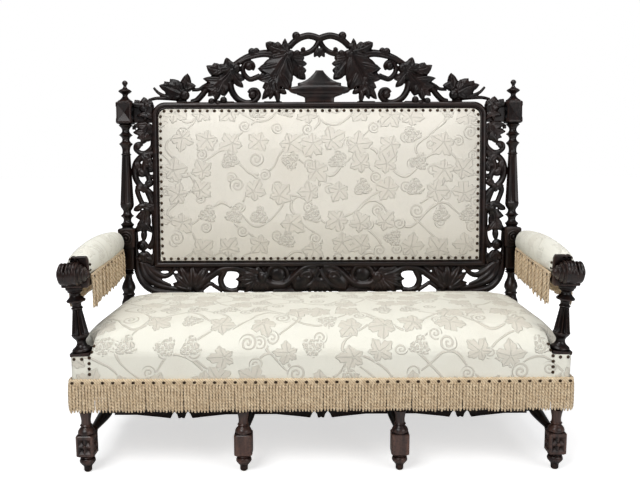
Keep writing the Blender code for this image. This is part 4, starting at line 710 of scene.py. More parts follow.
def frameOutline(inset, depth):
    inset *= frameShape["share"]
    half = heights["panelHalf"] - inset
    low, high = heights["panelLow"] + inset, heights["panelHigh"] - inset
    points = []
    corners = [(half, low, -90, frameShape["cornerLow"]), (half, high, 0, frameShape["cornerTop"]),
               (-half, high, 90, frameShape["cornerTop"]), (-half, low, 180, frameShape["cornerLow"])]
    for x, z, start, radius in corners:
        r = max(radius - inset, 0.0005)
        cx, cz = x - math.copysign(r, x), (z - r) if z == high else (z + r)
        for k in range(frameShape["arc"] + 1):
            a = math.radians(start + 90 * k / frameShape["arc"])
            points.append(backMatrix @ Vector((cx + r * math.cos(a), depth, cz + r * math.sin(a))))
    return points


panelFrame = loftRings("panelFrame", [frameOutline(i, d) for i, d in frameShape["section"]], True)
finishPiece(panelFrame, crossOak, ["panel_top_rail", "panel_bottom_rail",
                                               "panel_stile_left", "panel_stile_right"], 40)
print("frame and finials done")


# carving is drawn in millimetres on a flat board: x out, y up, z to the viewer
def newBoard(floor=0.0):
    return {"verts": [], "faces": [], "floor": Vector((0, floor))}


def spots(board, points):
    return [board["floor"] + Vector(p) * 0.001 for p in points]


def addLoft(board, rings):
    board["faces"] += loftFaces(len(rings), len(rings[0]), len(board["verts"]))
    for ring in rings:
        board["verts"] += ring


def curvePoints(points, steps=7):
    pts = [Vector(p) for p in points]
    pts = [2 * pts[0] - pts[1]] + pts + [2 * pts[-1] - pts[-2]]
    out = []
    for i in range(1, len(pts) - 2):
        p0, p1, p2, p3 = pts[i - 1:i + 3]
        for k in range(steps):
            t = k / steps
            out.append(0.5 * (2 * p1 + (p2 - p0) * t + (2 * p0 - 5 * p1 + 4 * p2 - p3) * t * t
                              + (3 * p1 - p0 - 3 * p2 + p3) * t**3))
    out.append(pts[-2])
    return out


def fullOutline(points, bulge, steps=4):
    count = len(points)
    area = sum(a[0] * b[1] - b[0] * a[1] for a, b in zip(points, points[1:] + points[:1]))
    sign = -1 if area > 0 else 1
    tips = []                                       # 1 at a lobe's tip, 0 in a notch
    for i, p in enumerate(points):
        before, after = p - points[i - 1], points[(i + 1) % count] - p
        turn = (before[0] * after[1] - before[1] * after[0]) * -sign
        tips.append(min(max(0.5 + 0.9 * turn / (before.length * after.length), 0.0), 1.0))
    edge, lobes = [], []
    for i, a in enumerate(points):
        b = points[(i + 1) % count]
        way = b - a
        side = Vector((-way[1], way[0])) * sign
        for k in range(steps):
            t = k / steps
            edge.append(a + way * t + side * (bulge * 4 * t * (1 - t)))
            lobes.append(tips[i] + (tips[(i + 1) % count] - tips[i]) * t)
    return edge, lobes


def nearestOn(path, p):
    best, spot = 1e9, path[0]
    for a, b in zip(path, path[1:]):
        way = b - a
        t = min(max((p - a).dot(way) / max(way.length_squared, 1e-12), 0.0), 1.0)
        q = a + way * t
        if (p - q).length < best:
            best, spot = (p - q).length, q
    return spot


leafCut = {"levels": (0.0, 0.06, 0.15, 0.28, 0.44, 0.60, 0.76, 0.88, 0.95, 1.0), "fold": 0.62,
           "foldFrom": 0.12, "vein": 0.40, "veinFrom": 0.82, "tip": 0.72, "shortest": 0.022,
           "widest": 0.0125, "wide": 0.24, "rootBack": 0.34, "past": 1.03, "ridge": 0.62,
           "ridgeLift": 0.36, "ridgeDeep": 0.008}


def blade(board, outline, rib, dome=0.015, lift=0.0, deep=0.011, bulge=0.09):
    edge, lobes = fullOutline(spots(board, outline), bulge)
    spine = curvePoints(spots(board, rib), 6)
    near = [nearestOn(spine, p) for p in edge]
    rings = [[(*p, lift - deep) for p in edge]]
    for f in leafCut["levels"]:                     # from the edge, 0, to the rib, 1
        swell = (1 - (1 - f)**2)**0.5
        hollow = leafCut["fold"] * math.sin(math.pi * min(1.0, f + leafCut["foldFrom"]))**0.8
        groove = leafCut["vein"] * max(0.0, (f - leafCut["veinFrom"]) / (1 - leafCut["veinFrom"]))
        rings.append([(*p.lerp(q, f), lift + dome * (swell * (1 - hollow * (1 - lobe)) - groove))
                      for p, q, lobe in zip(edge, near, lobes)])
    addLoft(board, rings)
    for tip, lobe in zip(edge[::4], lobes[::4]):    # a ridge with its own vein to each tip
        at = min(range(len(spine)), key=lambda k: (spine[k] - tip).length)
        base = spine[max(0, at - int(leafCut["rootBack"] * len(spine)))]
        way = tip - base
        if lobe >= leafCut["tip"] and way.length > leafCut["shortest"]:
            root = (base - board["floor"]) * 1000
            wide = min(leafCut["widest"], leafCut["wide"] * way.length)
            petal(board, root, root + way * (1000 * leafCut["past"]), wide, leafCut["ridge"] * dome,
                  lift + leafCut["ridgeLift"] * dome, leafCut["ridgeDeep"], leafCut["vein"])


petalCut = {"steps": 12, "span": 8, "swell": 2.45, "rootPower": 0.5, "tipPower": 0.75, "round": 0.55,
            "veinWide": 0.3, "thin": 0.6, "under": (0.85, 0.0, -0.85)}


def petal(board, base, tip, width, dome, lift=0.0, deep=0.009, groove=0.25):
    cut = petalCut
    a, b = spots(board, [base, tip])
    along = b - a
    across = Vector((-along[1], along[0])).normalized()
    rings = []
    for i in range(cut["steps"] + 1):
        s = min(max(i / cut["steps"], 0.004), 0.996)
        w = width * cut["swell"] * s**cut["rootPower"] * (1 - s)**cut["tipPower"]
        full = min(1.0, w / width)
        row = []                                    # over the top, then back underneath
        for k in range(cut["span"] + 1):
            t = -1 + 2 * k / cut["span"]
            top = (1 - t * t)**cut["round"] - groove * max(0.0, 1 - abs(t) / cut["veinWide"])
            row.append((t, lift + dome * full * top))
        below = lift - deep * (cut["thin"] + (1 - cut["thin"]) * full)
        row += [(t, below) for t in cut["under"]]
        rings.append([(*(a + along * s + across * (t * w)), z) for t, z in row])
    addLoft(board, rings)


def addBall(board, centre, radius, lift=0.0, flat=0.9, sides=16):
    x, y = spots(board, [centre])[0]
    around = [fullTurn * k / sides for k in range(sides)]
    rings = []
    for i in range(1, 10):
        a = math.pi * i / 10
        r = radius * math.sin(a)
        z = lift - radius * flat * math.cos(a)
        rings.append([(x + r * math.cos(b), y + r * math.sin(b), z) for b in around])
    addLoft(board, rings)


def stem(board, points, thick, thin, lift=0.0, flat=0.9, grooves=2, cut=0.20, sides=18):
    path = curvePoints(spots(board, points))
    rings = []
    for i, p in enumerate(path):
        r = thick + (thin - thick) * i / (len(path) - 1)
        way = path[min(i + 1, len(path) - 1)] - path[max(i - 1, 0)]
        side = Vector((-way[1], way[0])).normalized()
        ring = []
        for k in range(sides):
            a = fullTurn * k / sides
            q = r * (1 - cut * abs(math.sin(grooves * a))) if math.sin(a) > 0 else r
            ring.append((*(p + side * (q * math.cos(a))), lift + q * flat * math.sin(a)))
        rings.append(ring)
    addLoft(board, rings)


def scroll(board, centre, radius, fromAngle, turns, thick, lift=0.0, eye=0.42, steps=14):
    points = []
    for i in range(steps + 1):
        t = i / steps
        a = math.radians(fromAngle) + fullTurn * turns * t
        r = radius * (1 - 0.68 * t**0.85)
        points.append((centre[0] + r * math.cos(a), centre[1] + r * math.sin(a)))
    stem(board, points, thick, thick * 0.6, lift)
    addBall(board, centre, radius * 0.001 * eye, lift + 0.004, 1.0)


def slab(board, outline, back, front):
    edge = spots(board, outline)
    addLoft(board, [[(*p, z) for p in edge] for z in (back, front)])


def bars(board, rows, back, front):
    for x0, x1, y0, y1 in rows:
        slab(board, [(x0, y0), (x1, y0), (x1, y1), (x0, y1)], back, front)


def balls(board, rows, lift, flat):
    for x, y, r in rows:
        addBall(board, (x, y), r, lift, flat)


def carve(name, board, voxel=0.002, smooth=1):
    piece = makeMesh(name, board["verts"], board["faces"])
    fixNormals(piece)
    applyModifier(piece, "REMESH", mode="VOXEL", voxel_size=voxel, use_smooth_shade=True)
    applyModifier(piece, "SMOOTH", factor=0.5, iterations=smooth)
    return piece


# crest: a vine with three leaves a side, drawn for the right half
crest = {"floor": heights["panelHigh"] - 0.0015, "voxel": 0.0018, "cut": -0.0004}


def crestVine(board):
    stem(board, [(-8, 249), (4, 253), (24, 260), (46, 263), (73, 256), (99, 240), (120, 219)],
         0.0140, 0.0130, 0.001)
    stem(board, [(-8, 251), (4, 237), (18, 216), (41, 199), (73, 191), (110, 193)],
         0.0110, 0.0110, -0.001)
    stem(board, [(150, 184), (189, 191), (217, 194), (249, 190), (282, 181), (309, 168),
                 (342, 146)], 0.0165, 0.0120)
    stem(board, [(190, 182), (222, 186), (255, 180), (290, 170), (318, 155)], 0.0080, 0.0060,
         0.007)
    stem(board, [(345, 112), (402, 73), (448, 55), (467, 33), (490, 10), (512, 2)],
         0.0125, 0.0120, -0.002)
    stem(board, [(508, 52), (481, 53), (462, 66), (440, 78)], 0.0075, 0.0065)
    stem(board, [(530, 12), (564, 15), (610, 18), (652, 18), (682, 11)], 0.0095, 0.0060)
    stem(board, [(598, 20), (638, 37), (661, 60)], 0.0085, 0.0050, 0.001)
    balls(board, [(92, 262, 0.0165), (268, 200, 0.0150), (250, 204, 0.0120), (115, 190, 0.0175),
                  (88, 194, 0.0130), (330, 134, 0.0180), (346, 126, 0.0140)], 0.004, 0.90)
    scroll(board, (62, 208), 13, 210, 0.9, 0.0055, 0.004, 0.55)
    for tip in ((21, 178), (0, 176)):
        petal(board, (1, 214), tip, 0.0105, 0.010, 0.003)


def crestLeaves(board):
    # leaf beside the crossing
    blade(board, [(127, 197), (161, 190), (194, 177), (224, 152), (244, 133), (230, 120), (242, 90),
                  (214, 82), (226, 58), (210, 49), (228, 13), (203, 26), (182, 52), (161, 35),
                  (147, 64), (119, 48), (110, 82), (106, 109), (112, 154)],
          [(128, 190), (168, 115), (206, 36)], 0.019, 0.0)
    blade(board, [(124, 190), (87, 181), (60, 176), (70, 162), (50, 153), (70, 142), (52, 127),
                  (64, 114), (56, 92), (84, 95), (96, 104), (120, 130)],
          [(117, 184), (84, 140), (64, 102)], 0.015, -0.003)
    blade(board, [(129, 196), (161, 190), (191, 197), (211, 216), (213, 234), (196, 240), (175, 235),
                  (166, 238), (157, 217), (140, 204)],
          [(134, 199), (175, 215), (204, 229)], 0.017, 0.004)
    blade(board, [(153, 204), (149, 228), (136, 252), (127, 234), (116, 226), (121, 200)],
          [(138, 203), (136, 240)], 0.014, 0.001)
    for base, tip in (((184, 56), (199, 12)), ((171, 52), (164, -4)), ((158, 52), (131, 34))):
        petal(board, base, tip, 0.0115, 0.013, 0.004, groove=0.0)
    # leaf in the middle of the half
    blade(board, [(353, 127), (383, 114), (416, 107), (432, 109), (449, 144), (426, 147),
                  (418, 156), (397, 152), (379, 152), (356, 136)],
          [(358, 128), (402, 128), (440, 139)], 0.016, 0.004)
    blade(board, [(380, 143), (379, 163), (369, 178), (351, 165), (338, 152), (344, 134)],
          [(358, 134), (367, 168)], 0.014, 0.002)
    blade(board, [(356, 127), (383, 116), (420, 105), (462, 94), (441, 80), (459, 62), (441, 50),
                  (444, 26), (424, 31), (413, 9), (395, 33), (378, 27), (360, 60), (347, 91),
                  (348, 114)],
          [(353, 121), (393, 73), (420, 24)], 0.018, 0.0)
    blade(board, [(349, 127), (323, 118), (307, 105), (299, 91), (313, 87), (304, 61), (323, 64),
                  (339, 75), (353, 100)],
          [(344, 120), (323, 91), (309, 69)], 0.014, -0.001)
    balls(board, [(430, 4, 0.0140), (404, -3, 0.0125), (382, 10, 0.0140)], 0.006, 1.0)
    # leaf near the corner
    blade(board, [(541, 24), (587, 14), (619, 46), (638, 67), (610, 69), (617, 84), (589, 79),
                  (593, 94), (564, 89), (550, 69), (524, 46)],
          [(541, 37), (587, 60), (628, 68)], 0.017, 0.0)
    blade(board, [(548, 62), (551, 87), (524, 115), (513, 92), (512, 80), (493, 68), (508, 55),
                  (522, 44)],
          [(531, 53), (525, 104)], 0.016, 0.002)
    addBall(board, (536, 29), 0.0200, 0.007, 0.85)


def crestCurls(board):
    stem(board, [(236, 106), (258, 97), (279, 93), (299, 112), (305, 136), (293, 155), (273, 159),
                 (262, 145), (268, 129)], 0.0115, 0.0080, 0.001)
    addBall(board, (280, 142), 0.0170, 0.006, 0.95)
    stem(board, [(357, 78), (349, 46), (328, 16), (295, 0), (263, 5), (243, 27), (250, 48),
                 (270, 51), (283, 38)], 0.0145, 0.0080, 0.001)
    addBall(board, (267, 29), 0.0165, 0.006, 0.95)
    feet = ((340, 420), (254, 310), (176, 222), (500, 570), (150, 172))
    bars(board, [(low, high, 0, 5) for low, high in feet], -0.010, 0.008)


def makeCrest():
    board = newBoard(crest["floor"])
    crestVine(board)
    crestLeaves(board)
    crestCurls(board)
    piece = carve("crestRight", board, crest["voxel"])
    cutAway(piece, (crest["cut"], 0, 0), (1, 0, 0))
    return moveMesh(piece, boardMatrix)


crests = finishPair(makeCrest(), crestOak, "crest", 0)
print("crest", len(crests["right"].data.polygons))


# urn in the middle of the crest: height, half width, half depth
urnShape = [(0.000, 0.0585, 0.0140), (0.0130, 0.0585, 0.0140), (0.0175, 0.0600, 0.0142),
            (0.0215, 0.0660, 0.0150), (0.0260, 0.0800, 0.0165), (0.0300, 0.0905, 0.0178),
            (0.0330, 0.0905, 0.0178), (0.0335, 0.1010, 0.0192), (0.0385, 0.1150, 0.0212),
            (0.0445, 0.1215, 0.0222), (0.0500, 0.1230, 0.0226), (0.0555, 0.1190, 0.0222),
            (0.0590, 0.1080, 0.0212), (0.0615, 0.0930, 0.0196), (0.0640, 0.0860, 0.0185),
            (0.0730, 0.0870, 0.0186), (0.0750, 0.0840, 0.0182), (0.0775, 0.0720, 0.0172),
            (0.0830, 0.0580, 0.0160), (0.0900, 0.0465, 0.0150), (0.0980, 0.0365, 0.0140),
            (0.1070, 0.0275, 0.0130), (0.1150, 0.0205, 0.0122), (0.1200, 0.0170, 0.0116),
            (0.1240, 0.0150, 0.0100)]


def makeUrn(sides=64, corner=0.45):
    rings = []
    for h, wide, deep in urnShape:
        ring = []
        for k in range(sides):
            c, s = math.cos(fullTurn * k / sides), math.sin(fullTurn * k / sides)
            ring.append(backMatrix @ Vector((wide * math.copysign(abs(c)**corner, c),
                                             deep * math.copysign(abs(s)**corner, s),
                                             heights["panelHigh"] + 0.0004 + h)))
        rings.append(ring)
    return loftRings("urn", rings)


finishPiece(makeUrn(), carvedOak, ["crest_urn"], 30)


# link rails beside the top blocks, with leaves carved over each
def makeLink():
    board = newBoard()
    x0, x1 = 662.5, place["legX"] * 1000 - 33.5
    slab(board, [(x0, 761), (x1, 761), (x1, 824), (x0, 832)], -0.014, 0.008)
    blade(board, [(x1, 836), (730, 838), (736, 850), (712, 847), (700, 861), (684, 850), (668, 846),
                  (663, 828), (690, 818), (x1, 822)], [(668, 832), (705, 836), (738, 838)],
          0.012, 0.005)
    blade(board, [(690, 832), (716, 814), (706, 802), (724, 786), (701, 789), (695, 768), (681, 783),
                  (665, 772), (668, 798), (663, 815), (672, 830)], [(684, 826), (692, 782)],
          0.012, 0.009)
    addBall(board, (687, 828), 0.0100, 0.014, 0.9)
    return moveMesh(carve("linkRight", board, 0.0017), boardMatrix)


finishPair(makeLink(), carvedOak, "link_rail", 0)


# pierced vine panels between post and frame
def makeVine():
    board = newBoard()
    blade(board, [(680, 759), (712, 760), (742, 749), (724, 738), (744, 722), (721, 715), (730, 698),
                  (708, 695), (713, 676), (693, 686), (674, 693), (684, 712), (663, 718),
                  (664, 746)], [(680, 752), (708, 690)], 0.016)
    addBall(board, (681, 748), 0.0110, 0.009, 0.9)
    stem(board, [(668, 752), (667, 710), (668, 668), (694, 642), (718, 641), (736, 656), (734, 672),
                 (720, 677), (713, 667)], 0.0120, 0.0085, 0.001)
    addBall(board, (724, 665), 0.0100, 0.006, 1.0)
    stem(board, [(660, 640), (694, 634), (722, 618), (740, 590), (741, 552), (730, 523), (707, 500),
                 (684, 483), (666, 458)], 0.0135, 0.0125)
    stem(board, [(676, 632), (698, 603), (703, 575), (690, 552), (685, 529), (697, 506), (716, 487)],
         0.0120, 0.0110, 0.003)
    balls(board, [(680, 609, 0.0125), (722, 570, 0.0110), (677, 575, 0.0130), (701, 504, 0.0135),
                  (690, 590, 0.0100), (672, 545, 0.0100)], 0.003, 0.95)
    for base, tip in (((683, 600), (718, 640)), ((684, 606), (662, 570)), ((684, 575), (664, 600)),
                      ((724, 566), (700, 548)), ((702, 512), (664, 528)), ((722, 575), (738, 610))):
        petal(board, base, tip, 0.0150, 0.015, 0.001)
    petal(board, (706, 500), (742, 506), 0.0135, 0.014, 0.001)
    stem(board, [(712, 503), (726, 502), (733, 490), (727, 468), (714, 436)], 0.0110, 0.0105, 0.001)
    stem(board, [(697, 498), (687, 472), (674, 436)], 0.0125, 0.0110, 0.001)
    blade(board, [(694, 415), (717, 421), (743, 412), (733, 432), (705, 446), (685, 438), (661, 430),
                  (659, 412), (674, 404)], [(690, 422), (724, 424)], 0.014, 0.004)
    blade(board, [(697, 417), (723, 406), (741, 383), (725, 373), (735, 352), (725, 343), (744, 324),
                  (714, 331), (709, 316), (695, 333), (676, 322), (684, 352), (686, 386),
                  (680, 405)], [(700, 409), (711, 338)], 0.017)
    addBall(board, (694, 414), 0.0105, 0.010, 0.9)
    petal(board, (722, 424), (750, 410), 0.0120, 0.014, 0.001)
    stem(board, [(664, 466), (667, 420), (667, 374), (666, 329), (672, 289), (692, 256)],
         0.0120, 0.0115)
    petal(board, (708, 332), (711, 284), 0.0125, 0.013, 0.002, groove=0.0)
    addBall(board, (716, 269), 0.0225, 0.0, 0.62)
    addBall(board, (716, 269), 0.0120, 0.012, 0.80)
    stem(board, [(743, 330), (741, 294), (743, 254), (738, 226)], 0.0085, 0.0095)
    stem(board, [(670, 286), (666, 250), (670, 215), (680, 190)], 0.0110, 0.0110)
    scroll(board, (727, 214), 21, 60, -1.0, 0.0100, 0.003)
    scroll(board, (690, 216), 21, 120, 1.0, 0.0100, 0.003)
    for tip in ((742, 192), (708, 188), (674, 194), (726, 190)):
        petal(board, (709, 246), tip, 0.0135, 0.014, 0.001)
    # tabs that hold the vine to the stile and the post
    tabs = ((662.4, 674, 742), (662.4, 672, 660), (662.4, 672, 460), (662.4, 674, 330),
            (662.4, 674, 240), (736, 748, 742), (734, 748, 580), (736, 748, 320), (734, 748, 215))
    bars(board, [(low, high, y - 8, y + 8) for low, high, y in tabs], -0.009, 0.005)
    return moveMesh(carve("vineRight", board, 0.0017), boardMatrix)


vines = finishPair(makeVine(), carvedOak, "vine_panel", 0)
print("vine panels", len(vines["right"].data.polygons))


# carved rail under the padded back
def railSides(board):
    # acanthus strands sweep from the post into the rail
    stem(board, [(738, 222), (738, 180), (724, 135), (694, 103), (648, 88), (566, 85), (472, 87)],
         0.0160, 0.0110)
    stem(board, [(724, 203), (706, 151), (669, 121), (619, 106), (566, 97)], 0.0160, 0.0080, 0.003)
    stem(board, [(709, 197), (681, 154), (645, 129), (604, 113)], 0.0135, 0.0060, 0.005)
    stem(board, [(700, 190), (668, 163), (634, 148), (606, 156), (588, 180)], 0.0140, 0.0075, 0.002)
    stem(board, [(690, 184), (664, 180), (636, 174)], 0.0100, 0.0060, 0.001)
    for tip, wide in (((598, 120), 0.0160), ((594, 158), 0.0185), ((568, 190), 0.0190),
                      ((515, 192), 0.0220), ((460, 186), 0.0210), ((458, 134), 0.0170)):
        petal(board, (516, 98), tip, wide, 0.019, 0.000, deep=0.010, groove=0.30)
    slab(board, [(478, 92), (540, 90), (570, 124), (580, 186), (448, 186), (460, 140)], -0.010, 0.004)
    addBall(board, (530, 97), 0.0140, 0.007, 0.85)
    addBall(board, (498, 97), 0.0120, 0.005, 0.85)
    stem(board, [(476, 100), (446, 118), (427, 109), (396, 90)], 0.0085, 0.0080)
    stem(board, [(500, 106), (473, 127), (439, 150), (404, 171), (363, 178), (326, 172), (290, 150)],
         0.0150, 0.0140, 0.003)
    stem(board, [(388, 166), (403, 133), (391, 102), (363, 90), (334, 94)], 0.0130, 0.0115)


def railMiddle(board):
    slab(board, [(-4, 182), (318, 182), (330, 150), (336, 92), (252, 84), (162, 89), (94, 86),
                 (26, 88), (-4, 85)], -0.010, 0.000)
    for tip, wide in (((334, 160), 0.0150), ((344, 134), 0.0155), ((340, 104), 0.0160),
                      ((308, 84), 0.0160), ((268, 84), 0.0150)):
        petal(board, (246, 142), tip, wide, 0.016, 0.002, deep=0.011, groove=0.30)
    for tip, wide in (((316, 182), 0.0130), ((262, 186), 0.0120)):
        petal(board, (232, 156), tip, wide, 0.014, 0.002, groove=0.25)
    addBall(board, (231, 143), 0.0235, 0.004, 0.80)
    for tip in ((258, 86), (232, 84), (206, 90)):
        petal(board, (230, 138), tip, 0.0155, 0.015, 0.002)
    addBall(board, (172, 150), 0.0290, 0.000, 0.32)               # smooth disc in a ring
    stem(board, [(214, 150), (208, 170), (190, 184), (168, 186), (146, 180), (132, 162), (132, 142),
                 (146, 124)], 0.0120, 0.0090, 0.004)
    petal(board, (112, 100), (0, 190), 0.0300, 0.019, 0.001, groove=0.0)
    stem(board, [(216, 128), (198, 116), (172, 112), (146, 116), (120, 132), (96, 154), (70, 174),
                 (40, 184), (14, 182)], 0.0145, 0.0130, 0.006)
    stem(board, [(104, 102), (70, 104), (36, 118), (12, 144), (-2, 172)], 0.0110, 0.0090, 0.006)
    stem(board, [(80, 146), (62, 160), (42, 160), (36, 148), (50, 140), (62, 146)], 0.0070, 0.0055, 0.018)
    for tip in ((-1, 82), (22, 82), (46, 84)):
        petal(board, (0, 142), tip, 0.0135, 0.014, 0.002)
    stem(board, [(190, 90), (150, 92), (110, 88), (76, 88)], 0.0090, 0.0080, 0.001)


rail = {"top": 184.6, "bandLow": 167, "end": place["legX"] * 1000 - 28, "voxel": 0.0023,
        "cut": -0.0004, "deeper": 1.08}


def makeRail():
    board = newBoard()
    bars(board, [(-4, rail["end"], rail["bandLow"], rail["top"])], -0.010, 0.004)
    railSides(board)
    railMiddle(board)
    half = carve("carvedRail", board, rail["voxel"])
    cutAway(half, (rail["cut"], 0, 0), (1, 0, 0))
    top = rail["top"] * 0.001
    for v in half.data.vertices:                       # lower edge hides behind the seat
        v.co.y = min(v.co.y, top - rail["deeper"] * (top - v.co.y))
    moveMesh(half, boardMatrix)
    whole = joinPieces("carvedRail", [half, mirrorCopy(half, "carvedRailTwin")])
    fixNormals(whole)
    return whole


carvedRail = makeRail()
finishPiece(carvedRail, carvedOak, ["lower_carved_rail"], 0)
print("carved rail", len(carvedRail.data.polygons))


# arm posts lean outward
armPostShape = {
    "lean": math.radians(4.5),
    "plinth": [(0.0003, 0.0335), (0.0095, 0.0335)],
    "base": [(0.0095, 0.0300, 1), (0.0140, 0.0315, 0), (0.0190, 0.0290, 0), (0.0250, 0.0215, 0),
             (0.0320, 0.0162, 0), (0.0400, 0.0145, 0), (0.0480, 0.0168, 0), (0.0580, 0.0250, 0),
             (0.0650, 0.0280, 1)],
    "vase": [(0.0655, 0.0282), (0.1470, 0.0160)],
    "neck": [(0.1480, 0.0150, 1), (0.1525, 0.0190, 0), (0.1570, 0.0150, 1), (0.1640, 0.0146, 0),
             (0.1700, 0.0175, 0), (0.1738, 0.0285, 1), (0.1785, 0.0302, 1), (0.1850, 0.0240, 0),
             (0.1930, 0.0172, 0), (0.2000, 0.0165, 0), (0.2070, 0.0235, 1), (0.2110, 0.0235, 1),
             (0.2140, 0.0275, 0), (0.2175, 0.0285, 1), (0.2213, 0.0285, 1)],
    "flutes": (10, 0.34),
}


def makeArmPost():
    shape = armPostShape
    tilt = (Matrix.Translation((place["legX"], place["legY"], place["railTop"]))
            @ Matrix.Rotation(shape["lean"], 4, "Y"))

    def spot(x, y, h):
        return tuple(tilt @ Vector((x, y, h)))

    return timber("armPostRight", [("square", shape["plinth"], 0.004), ("round", shape["base"]),
                                   ("flutes", shape["vase"], *shape["flutes"]),
                                   ("round", shape["neck"])], spot)


finishPair(makeArmPost(), darkOak, "arm_post")


# arms: bar under the pad, ribbed scroll in front, lip against the pad
armShape = {"front": (0.7725, 0.0330), "rear": (0.8110, 0.0250), "low": 0.6223, "high": 0.6573,
            "scroll": Vector((0.7805, -0.3455, 0.6690)), "radius": 0.0378, "half": 0.0460,
            "grooves": [(0.44, 0.0080), (0.72, 0.0028), (0.20, 0.0040), (0.00, 0.0036),
                        (-0.20, 0.0034)], "grooveWide": 0.060, "waist": 0.0030,
            "endFrom": 0.80, "knob": 0.34, "innerEase": 0.12, "collar": 0.0025,
            "coneFrom": -0.30, "cone": 0.0235, "coneRidge": 0.0020,
            "lipX": 0.7690, "lipHalf": 0.0285, "lipTop": 0.7225, "lipLow": 0.655,
            "lipY": (-0.3100, -0.3280), "lipFlare": 0.002, "lipEased": 0.0045,
            "dip": 0.0016, "dipAt": 0.40, "dipWide": 0.10, "shoulder": 0.012, "shoulderFrom": 0.72,
            "dents": (0.66, 0.12), "dent": 0.0062, "dentOut": 0.0010, "dentDown": 0.0120,
            "barFront": 0.010, "barRear": 0.012, "barEased": 0.006,
            "eye": (0.0045, 0.0100, 0.0100), "button": (0.0040, 0.0080, 0.0080),
            "buttonRing": (0.0150, 0.0040), "sunk": 0.0005, "buttonSunk": 0.0002,
            "cap": (0.064, 0.066, 0.0150), "capOut": 0.0175, "capZ": 0.6300, "capEased": 0.004}


def scrollRing(t, sides=48):                           # t runs from the inner end, -1, to the outer
    shape = armShape
    end = max(0.0, (abs(t) - shape["endFrom"]) / (1 - shape["endFrom"]))
    ease = shape["knob"] if t > 0 else shape["innerEase"]          # outer end is a rounded knob
    body = shape["radius"] * (1 - ease * end**2.2) - (shape["collar"] if t > 0.45 else 0.0)
    cone = max(0.0, (shape["coneFrom"] - t) / (1 + shape["coneFrom"]))
    body -= shape["cone"] * cone**1.2                  # inner end winds in as a ridged volute
    body -= shape["coneRidge"] * (1 - math.cos(3 * fullTurn * cone))
    cut = sum(deep * math.exp(-((t - g) / shape["grooveWide"])**2) for g, deep in shape["grooves"])
    waist = shape["waist"] * max(0.0, 1 - abs(t + 0.05) / 0.5)
    ring = []
    for k in range(sides):
        a = fullTurn * k / sides                       # 0 looks back, a quarter turn looks up
        high = min(1.0, max(0.0, 1.6 * math.sin(a + 0.12) + 0.35))     # ribs fade down the front
        r = body - cut * high - waist * (1 - high)
        ring.append(shape["scroll"] + Vector((shape["half"] * t, r * math.cos(a), r * math.sin(a))))
    return ring


def makeLip(steps=40):
    shape = armShape
    centre, half, low = shape["lipX"], shape["lipHalf"], shape["lipLow"]
    top = []
    for i in range(steps + 1):
        t = -1 + 2 * i / steps
        dip = shape["dip"] * math.exp(-((t - shape["dipAt"]) / shape["dipWide"])**2)
        out = max(0.0, (abs(t) - shape["shoulderFrom"]) / (1 - shape["shoulderFrom"]))
        top.append((centre + half * t, shape["lipTop"] - dip - shape["shoulder"] * out**2))
    foot = half + shape["lipFlare"]
    outline = [(centre + foot, low)] + top[::-1] + [(centre - foot, low)]
    lip = loftRings("armLip", [[(x, y, z) for x, z in outline] for y in shape["lipY"]])
    applyModifier(lip, "BEVEL", width=shape["lipEased"], segments=3, limit_method="ANGLE",
                  angle_limit=math.radians(50))
    for t in shape["dents"]:                           # thumb dents under the edge
        spot = (centre + half * t, shape["lipY"][1] - shape["dentOut"],
                shape["lipTop"] - shape["dentDown"])
        cutOut(lip, newBead(Matrix.Translation(spot), shape["dent"], 20, 12))
    return lip


def newBlock(width, rule):                             # cube, its corners set by a rule, then eased
    clearSelection()
    bpy.ops.mesh.primitive_cube_add(size=1, location=(0, 0, 0))
    block = bpy.context.object
    for v in block.data.vertices:
        v.co = rule(v.co)
    applyModifier(block, "BEVEL", width=width, segments=3)
    return block


def makeArm():
    shape = armShape

    def barCorner(co):
        centre, half = shape["rear"] if co.y > 0 else shape["front"]
        y = place["postY"] - shape["barRear"] if co.y > 0 else shape["scroll"].y + shape["barFront"]
        return (centre + math.copysign(half, co.x), y, shape["high"] if co.z > 0 else shape["low"])

    def capCorner(co):
        spot = Vector((place["legX"] + shape["capOut"], place["legY"], shape["capZ"]))
        return spot + co * Vector(shape["cap"])

    def onAxis(out, size):
        return (Matrix.Translation(shape["scroll"] + Vector((out, 0, 0)))
                @ Matrix.Diagonal((*size, 1)))

    roll = loftRings("armScroll", [scrollRing(-1 + i / 40) for i in range(81)])
    parts = [newBlock(shape["barEased"], barCorner), roll, makeLip()]
    # volute on the inner end, button on the outer one
    quarter = Matrix.Rotation(math.pi / 2, 4, "Y")
    half, sunk = shape["half"], shape["sunk"]
    parts.append(newBead(onAxis(-half - sunk, shape["eye"]), 1))
    parts.append(newRing(onAxis(half - sunk, (1, 1, 1)) @ quarter, *shape["buttonRing"], 36))
    parts.append(newBead(onAxis(half - shape["buttonSunk"], shape["button"]), 1))
    parts.append(newBlock(shape["capEased"], capCorner))
    return joinPieces("armRight", parts)


finishPair(makeArm(), armOak, "arm")
print("arms done")


